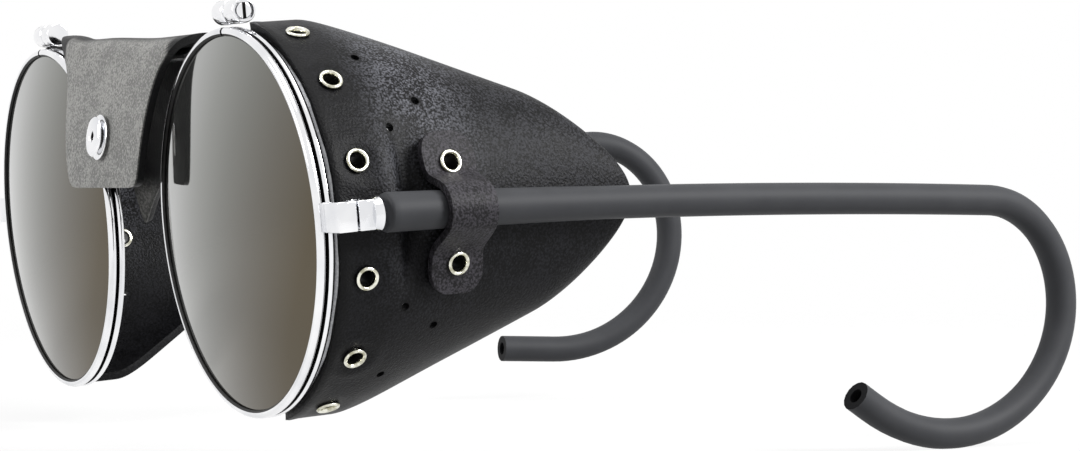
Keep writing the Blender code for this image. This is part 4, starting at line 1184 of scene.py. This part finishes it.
def strap_spots(drop):
    """The places of the strap's two eyelets on the shield."""
    middle = cable_height(STRAP_BACK, drop) - STRAP_LOWERED
    return [shield_spot(STRAP_BACK, middle + way * STRAP_RISE) for way in (1, -1)]


def shield_row(share):
    """The rows lie evenly along the shield and close up towards the round tip."""
    if share < TIP_SHARE:
        return SHIELD_FRONT + (TIP_START - SHIELD_FRONT) * share / TIP_SHARE
    turn = radians(86) * (share - TIP_SHARE) / (1 - TIP_SHARE)
    return TIP_START + (SHIELD_REACH - TIP_START) * sin(turn)


def shield_corner(x, y):
    back = shield_row((y + 1) / 2)
    point = shield_point(-x, back)
    return point + shield_normal(-x, back) * shield_swell(point)


hem_spots = [hem_spot(turn) for turn in EYELET_ANGLES]
for side, label in SIDES:
    shield = bent_grid(*SHIELD_GRID, shield_corner)
    cut_leather(shield)
    rivets = hem_spots + strap_spots(CABLES[label][0])
    boolean(shield, pegs(rivets, HOLE_RADIUS, PUNCH), "DIFFERENCE")
    boolean(shield, pegs(vent_spots, VENT_RADIUS, PUNCH), "DIFFERENCE")
    cut_fold_room(shield)
    shade_corners(shield, shield_shade)
    place(shield, lens_place(side), 40)
    dress(shield, "side_shield_piece_" + label, leather, "black_leather", "side_shield_" + label)
    bend_with_temple(shield, side, label)

# %% [markdown]
# Inside the hem a second strip of leather covers the ends of the eyelets. It is a plain part
# of a cylinder, so a small grid is enough, and it is punched and cut like the shield.

# %% Hem strips
STRIP_FRONT = 2.85 * MM
STRIP_BACK = 7.4 * MM
STRIP_GRID = (72, 6)


def strip_corner(x, y):
    angle = -x * (SHIELD_TOP if x <= 0 else SHIELD_BOTTOM)
    radius = SHIELD_RADIUS - LEATHER - CLEARANCE
    back = STRIP_FRONT + (STRIP_BACK - STRIP_FRONT) * (y + 1) / 2
    return Vector((radius * cos(angle), back, radius * sin(angle)))


for side, label in SIDES:
    strip = bent_grid(*STRIP_GRID, strip_corner)
    cut_leather(strip)
    boolean(strip, pegs(hem_spots, HOLE_RADIUS, PUNCH), "DIFFERENCE")
    cut_fold_room(strip)
    shade_corners(strip, lambda corner: 0.6)
    place(strip, lens_place(side), 40)
    dress(strip, "hem_strip_piece_" + label, leather, "black_leather", "hem_strip_" + label)
    bend_with_temple(strip, side, label)

# %% [markdown]
# The strap is a dog-bone of leather: a round lobe above and one below, riveted to the
# shield, and a waist between them that holds the temple down. Cut flat and bent, it would
# cross the tube, so each row of a coarse grid is laid on the shield or over the sleeve. The
# grid is then thickened and smoothed, which rounds the lobes.

# %% Straps
STRAP_HALF_LENGTH = 10.4 * MM
STRAP_HALF_WIDTH = 4.1 * MM
STRAP_WAIST = 3.6 * MM
STRAP_THICKNESS = 1.1 * MM
STRAP_COLUMNS = 4
STRAP_LEVELS = 3
EDGE_CREASE = 0.75
# Share of the half length and of the half width, from the end of a lobe to its neck
LOBE = ((1.0, 0.45), (0.95, 0.75), (0.82, 1.0), (0.62, 1.0), (0.41, 0.94))
WAIST_TURNS = (72, 36, 0, -36, -72)


def strap_rows():
    """Each row's height on the shield or turn over the sleeve, and its half width."""
    upper = [(share * STRAP_HALF_LENGTH, None, STRAP_HALF_WIDTH * wide) for share, wide in LOBE]
    waist = [(None, radians(turn), STRAP_WAIST) for turn in WAIST_TURNS]
    lower = [(-height, None, wide) for height, turn, wide in reversed(upper)]
    return upper + waist + lower


def strap_point(row, share, drop):
    height, turn, half_width = row
    back = STRAP_BACK + share * half_width
    middle = cable_height(back, drop)
    if turn is None:
        point, normal = shield_spot(back, middle - STRAP_LOWERED + height)
        return point + normal * CLEARANCE
    reach = SLEEVE_FRONT_RADIUS + CLEARANCE
    out = SLEEVE_OUT - tan(TEMPLE_TOE) * (back - SLEEVE_START)
    return Vector((out + reach * cos(turn), back, middle + reach * sin(turn)))


def fold_over(piece, thickness, levels):
    """Thicken a coarse sheet outward with crisp edges, and smooth it."""
    crisp = {"edge_crease_inner": EDGE_CREASE, "edge_crease_outer": EDGE_CREASE}
    modify(piece, "SOLIDIFY", thickness=thickness, offset=1, **crisp)
    modify(piece, "SUBSURF", levels=levels, render_levels=levels)


rows = strap_rows()
last = len(rows) - 1
for side, label in SIDES:
    drop = CABLES[label][0]
    strap = bent_grid(
        STRAP_COLUMNS, last, lambda x, y: strap_point(rows[round((1 - y) / 2 * last)], x, drop)
    )
    fold_over(strap, STRAP_THICKNESS, STRAP_LEVELS)
    boolean(strap, pegs(strap_spots(drop), HOLE_RADIUS, PUNCH), "DIFFERENCE")
    place(strap, lens_place(side), 50)
    dress(strap, "temple_strap_piece_" + label, strap_leather, "black_leather", "temple_strap_" + label)
    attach(strap, "temple_" + label)

# %% [markdown]
# An eyelet is a short brass tube, plated and rolled outward at both ends. A ring and a tube
# would meet in a sharp seam, so one section with the rolled lip in it is spun round. The
# eyelet is then copied to each place and turned to the leather's normal.

# %% Eyelets
EYELET_LIP = (
    (1.2, 0), (1.55, 0), (1.66, -0.12), (1.65, -0.28), (1.54, -0.43), (1.36, -0.46), (1.2, -0.38),
    (1.12, -0.2), (1.05, 0.1),
)
EYELET_REAR = ((0.86, 0.6), (1.2, 0.72), (1.6, 0.55), (1.6, 0.3), (1.15, 0.3))
EYELET_BORE = 1.1 * MM
EYELET_STEPS = 40


def copy_of(piece):
    other = piece.copy()
    other.data = piece.data.copy()
    bpy.context.collection.objects.link(other)
    return other


def in_bore(face):
    """Whether a face lies inside the tube, behind its rolled lip."""
    return face.center.y > 0 and hypot(face.center.x, face.center.z) < EYELET_BORE


def eyelet(stack):
    """An eyelet through leather of the given thickness in mm, whose outer face lies at 0."""
    section = list(EYELET_LIP) + [(radius, stack + back) for radius, back in EYELET_REAR]
    ring = spun([(radius * MM, back * MM) for radius, back in section], EYELET_STEPS)
    ring.data.materials.append(plate)
    # Painted shade inside the tube, behind its rolled lip.
    second_material(ring, hollow_shade, in_bore)
    return ring


def stand(piece, side, point, normal):
    """Place a piece on a leather face, with its front turned along the face's normal."""
    turn = normal.to_track_quat("-Y", "Z").to_matrix().to_4x4()
    place(piece, lens_place(side) @ Matrix.Translation(point) @ turn, 50)


for side, label in SIDES:
    master = eyelet(2 * LEATHER / MM + 0.3)
    for number, spot in enumerate(hem_spots, 1):
        ring = copy_of(master)
        stand(ring, side, *spot)
        dress(ring, f"eyelet_{number}_piece_{label}", plate, "chrome", f"eyelet_{number}_{label}")
        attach(ring, "front")
    bpy.data.objects.remove(master)
    for place_name, (point, normal) in zip(("upper", "lower"), strap_spots(CABLES[label][0])):
        ring = eyelet((LEATHER + CLEARANCE + STRAP_THICKNESS) / MM)
        stand(ring, side, point + normal * (CLEARANCE + STRAP_THICKNESS), normal)
        name = "strap_eyelet_" + place_name
        dress(ring, f"{name}_piece_{label}", plate, "chrome", f"{name}_{label}")
        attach(ring, "temple_" + label)

# %% [markdown]
# The nose leather is one piece folded over the bridge bar. Behind, it fills the gap between
# the rims and is arched for the nose. In front, a flap hangs down over both rims and leans
# forward. Cloth could be dropped over the bar, but stiff leather keeps the form that it was
# pressed to, so the rows of a coarse grid are laid along the panel, over the fold and down
# the flap.

# %% Nose panel, fold and flap
BRIDGE_HEIGHT = 23.9 * MM
NOSE_WRAP = 1.6 * MM
FLAP_BOTTOM = 5.4 * MM
FLAP_TOP_WIDTH = 21.3 * MM
FLAP_BOTTOM_WIDTH = 15.0 * MM
FLAP_FORWARD = 5.1 * MM
ARCH_TOP = 6.0 * MM
ARCH_FOOT = -2.0 * MM
NOSE_TUCK = 0.6 * MM
EAR_LIFT = 1.1 * MM
FOLD_LIFT = 0.9 * MM
FOOT_FLARE = 3.5 * MM
FOOT_SPREAD = 2.5 * MM
EAR_COLUMNS = (0.55, 0.85)
EAR_SPREAD = 0.6
LIFT_COLUMNS = (-0.4, 0.5)
FRONT_LIFT = 0.4


def flap_back(height):
    share = (BRIDGE_HEIGHT - height) / (BRIDGE_HEIGHT - FLAP_BOTTOM)
    return -NOSE_WRAP - (FLAP_FORWARD - NOSE_WRAP) * sin(pi / 2 * share)


def rim_gap(height):
    """Half the gap between the rims at a height."""
    return LENS_SPACING / 2 - sqrt(max(0.0, RIM_OUTER**2 - height**2))


def panel_point(column, share):
    """On the rear panel, a share of the way up from its arched foot."""
    foot = (1 - share) ** 2
    wide = rim_gap(ARCH_FOOT + (BRIDGE_HEIGHT - ARCH_FOOT) * share) + NOSE_TUCK + FOOT_SPREAD * foot
    arch = ARCH_FOOT + (ARCH_TOP - ARCH_FOOT) * (1 - column**2)
    return Vector((column * wide, NOSE_WRAP + FOOT_FLARE * foot, arch + (BRIDGE_HEIGHT - arch) * share))


def fold_point(column, turn, wide):
    """On the fold over the bar, whose ends stand up as ears behind the flap."""
    turn = radians(turn)
    in_front = turn >= pi
    ear = 0.0 if in_front else step_up(abs(column), *EAR_COLUMNS)
    lift = FOLD_LIFT * (1 - step_up(column, *LIFT_COLUMNS)) * (FRONT_LIFT if in_front else 1)
    lift += EAR_LIFT * ear if column < 0 else 0
    y = NOSE_WRAP * cos(turn) * (1 + EAR_SPREAD * ear)
    return Vector((column * wide, y, BRIDGE_HEIGHT + NOSE_WRAP * sin(turn) + lift))


def flap_point(column, share, corner):
    """On the flap, a share of the way down, drawn in where corner is below 1."""
    z = BRIDGE_HEIGHT - (BRIDGE_HEIGHT - FLAP_BOTTOM) * share
    wide = (FLAP_TOP_WIDTH + (FLAP_BOTTOM_WIDTH - FLAP_TOP_WIDTH) * sqrt(share)) * corner
    return Vector((column * wide, flap_back(z), z))


print("flap hangs", round((BRIDGE_HEIGHT - FLAP_BOTTOM) / MM, 1), "mm below the bar")

# %% [markdown]
# The three parts of the nose leather are strung together row by row and bent from one grid.
# Faces that look forward, on the flap and on the panel's feet below it, have a painted pale
# sheen, while the flap's back, its sides and the rest of the panel stay black, so a shade
# is written on its corners too. A hole is punched for the stud.

# %% Nose leather
PANEL_SHARES = (0, 0.2, 0.45, 0.7, 0.88, 1)
FLAP_ROWS = ((0.14, 1), (0.3, 1), (0.5, 1), (0.72, 1), (0.92, 0.97), (0.98, 0.92), (1, 0.82))
NOSE_COLUMNS = 16
NOSE_LEVELS = 2
STUD_HEIGHT = 12.6 * MM
STUD_HOLE = 2.0 * MM
PALE_SIDES = (21.2 * MM, 21.9 * MM)

shoulder = rim_gap(BRIDGE_HEIGHT + NOSE_WRAP)
between = (shoulder + FLAP_TOP_WIDTH) / 2
fold_rows = ((30, shoulder), (60, shoulder), (90, shoulder), (130, between), (180, FLAP_TOP_WIDTH))
nose_rows = [(panel_point, share) for share in PANEL_SHARES]
nose_rows += [(fold_point, *row) for row in fold_rows]
nose_rows += [(flap_point, *row) for row in FLAP_ROWS]
nose_last = len(nose_rows) - 1


def nose_corner(x, y):
    shape, *numbers = nose_rows[round((y + 1) / 2 * nose_last)]
    return shape(-x, *numbers)


def nose_shade(corner):
    """Painted sheen: only forward faces turn pale, on the flap between the ears of the fold and on the
    feet below it.
    """
    shade = step_up(-corner.normal.y, 0.15, 0.7) * (1 - step_up(abs(corner.co.x), *PALE_SIDES))
    if corner.co.y > 0:
        shade *= 1 - step_up(corner.co.z, FLAP_BOTTOM - 3 * MM, FLAP_BOTTOM + MM)
    return shade


slope = (flap_back(STUD_HEIGHT + CLEARANCE) - flap_back(STUD_HEIGHT - CLEARANCE)) / (2 * CLEARANCE)
stud_normal = Vector((0, -1, slope)).normalized()
stud_spot = Vector((0, flap_back(STUD_HEIGHT), STUD_HEIGHT)) + stud_normal * LEATHER
nose = bent_grid(NOSE_COLUMNS, nose_last, nose_corner)
fold_over(nose, LEATHER, NOSE_LEVELS)
boolean(nose, pegs([(stud_spot, stud_normal)], STUD_HOLE, PUNCH), "DIFFERENCE")
shade_corners(nose, nose_shade)
place(nose, FRONT, 50)
dress(nose, "nose_leather_piece", nose_material, "black_leather", "nose_leather")
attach(nose, "front")

# %% [markdown]
# One big stud rivets the flap: a flat flange with a raised tube end in its middle. Like the
# eyelets it is turned work, so one section is spun round, and painted shade darkens the
# tube's bore and the corner under its lip.

# %% Nose stud
STUD_SECTION = (
    (0.75, 2.0), (2.7, 2.0), (2.7, 1.6), (1.7, 1.6), (1.7, -0.3), (3.2, -0.3), (3.35, -0.38),
    (3.35, -0.5), (3.2, -0.6), (2.5, -0.65), (2.3, -0.75), (2.3, -0.95), (2.75, -1.05),
    (2.98, -1.2), (2.95, -1.35), (2.7, -1.5), (2.0, -1.62), (1.2, -1.66), (0.88, -1.6), (0.75, -1.4),
)
STUD_STEPS = 48
STUD_BORE = 0.8 * MM


def in_stud_hollow(face):
    """Whether a face lies in the stud's bore or in the corner under its lip."""
    reach = hypot(face.center.x, face.center.z)
    under_lip = 2 * MM < reach < 2.5 * MM and -1.0 * MM < face.center.y < -0.7 * MM
    return reach < STUD_BORE or under_lip


stud = spun([(radius * MM, back * MM) for radius, back in STUD_SECTION], STUD_STEPS)
stud.data.materials.append(chrome)
# Painted shade in the bore and under the lip.
second_material(stud, hollow_shade, in_stud_hollow)
turn = stud_normal.to_track_quat("-Y", "Z").to_matrix().to_4x4()
place(stud, FRONT @ Matrix.Translation(stud_spot) @ turn, 50)
dress(stud, "nose_stud_piece", chrome, "chrome", "nose_stud")
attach(stud, "front")

# %% [markdown]
# The bar, the hem wires and the cable cores are plain round metal and mostly hidden, so the
# solids themselves are shown, in metal. Modelling them again would add nothing to see.

# %% Metal left as it is
KEPT = (("bridge_bar", chrome), ("shield_hoop", steel), ("temple_core", steel))

for name, material in KEPT:
    for ending in ("", "_left", "_right"):
        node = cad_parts.get(name + ending)
        if node:
            node.data.materials.clear()
            node.data.materials.append(material)
            print("kept", node.name)

# %% [markdown]
# The side shields and the nose leather are cut from flat leather. Here each shield is only
# looked up.

for side, label in SIDES:
    shield = bpy.data.objects["side_shield_piece_" + label]

# %% [markdown]
# The stage is a pale floor under a white room. White paper to the camera could come from
# more light, but that would bleach the object, so the floor only shows itself brighter to
# the camera and in reflections than it shines on the object. It keeps the object's shadow
# and fades out with distance. A folded hook dips below it, so the camera also sees
# through it in part.

# %% Studio floor
FLOOR_SIZE = 8
FLOOR_DROP = 0.05 * MM
PAPER_CLOUD = 0.4
FLOOR_FADE = (0.12, 0.5)
SEEN_THROUGH = 0.6

begin()
bpy.ops.mesh.primitive_plane_add(size=FLOOR_SIZE, location=(0, 0, -FLOOR_DROP))
floor = bpy.context.object
floor.name = "studio_floor"
paper, tree, shader, where = new_material("white_paper")
rays = add(tree, "ShaderNodeLightPath").outputs
camera_or_gloss = {0: rays["Is Camera Ray"], 1: rays["Is Glossy Ray"]}
seen = add(tree, "ShaderNodeMath", camera_or_gloss, operation="MAXIMUM")
glow = add(tree, "ShaderNodeMapRange", {"Value": seen, "To Min": 0.1, "To Max": 0.75})
cloud = add(tree, "ShaderNodeTexNoise", {"Vector": where, "Scale": 1 / PAPER_CLOUD})
pale = add(tree, "ShaderNodeValToRGB", {"Fac": cloud}, ((0.3, "8a8a8a"), (0.7, "909090")))
feed(tree, shader, {"Base Color": pale, "Roughness": 0.9, "Specular IOR Level": 0.0})
feed(tree, shader, {"Emission Color": (1, 1, 1, 1), "Emission Strength": glow})
far = add(tree, "ShaderNodeVectorMath", {0: where}, operation="LENGTH").outputs["Value"]
outward = {"Value": far, "From Min": FLOOR_FADE[0], "From Max": FLOOR_FADE[1]}
fade = add(tree, "ShaderNodeMapRange", outward, interpolation_type="SMOOTHSTEP")
clear = add(tree, "ShaderNodeBsdfTransparent")
glassy = add(tree, "ShaderNodeMath", {0: rays["Is Camera Ray"], 1: SEEN_THROUGH}, operation="MULTIPLY")
gone = add(tree, "ShaderNodeMath", {0: fade, 1: glassy}, operation="MAXIMUM")
blend = add(tree, "ShaderNodeMixShader", {"Fac": gone, 1: shader, 2: clear})
feed(tree, tree.nodes["Material Output"], {"Surface": blend})
floor.data.materials.append(paper)
print("floor", FLOOR_SIZE, "m wide")

# %% [markdown]
# The room is white to the camera, in reflections and through glass, and shines only softly
# on the object. Three broad lamps shape the leather: a key from behind the wearer's left
# shoulder, a fill from the front and one from above.

# %% Room and lamps
ROOM_LIGHT = 0.15
LAMP_TARGET = Vector((0, 0, 0.03))
# Name, place in m, width in m and watts
LAMPS = (
    ("key_lamp", (0.75, 0.6, 0.6), 0.5, 14),
    ("fill_lamp", (-0.3, -1.0, 0.4), 0.6, 6),
    ("top_lamp", (0.15, -0.1, 1.1), 0.8, 5),
)

world = bpy.data.worlds.new("white_room")
bpy.context.scene.world = world
world.use_nodes = True
tree = world.node_tree
rays = add(tree, "ShaderNodeLightPath").outputs
camera_or_gloss = {0: rays["Is Camera Ray"], 1: rays["Is Glossy Ray"]}
seen = add(tree, "ShaderNodeMath", camera_or_gloss, operation="MAXIMUM")
seen = add(tree, "ShaderNodeMath", {0: seen, 1: rays["Is Transmission Ray"]}, operation="MAXIMUM")
strength = add(tree, "ShaderNodeMapRange", {"Value": seen, "To Min": ROOM_LIGHT, "To Max": 1.0})
feed(tree, tree.nodes["Background"], {"Color": (1, 1, 1, 1), "Strength": strength})

for name, spot, size, watts in LAMPS:
    begin()
    bpy.ops.object.light_add(type="AREA", location=spot)
    light = bpy.context.object
    light.name = name
    light.data.shape = "DISK"
    light.data.size = size
    light.data.energy = watts
    light.rotation_euler = (Vector(spot) - LAMP_TARGET).to_track_quat("Z", "Y").to_euler()
    print(name, watts, "W")
bpy.context.scene.view_settings.view_transform = "Standard"
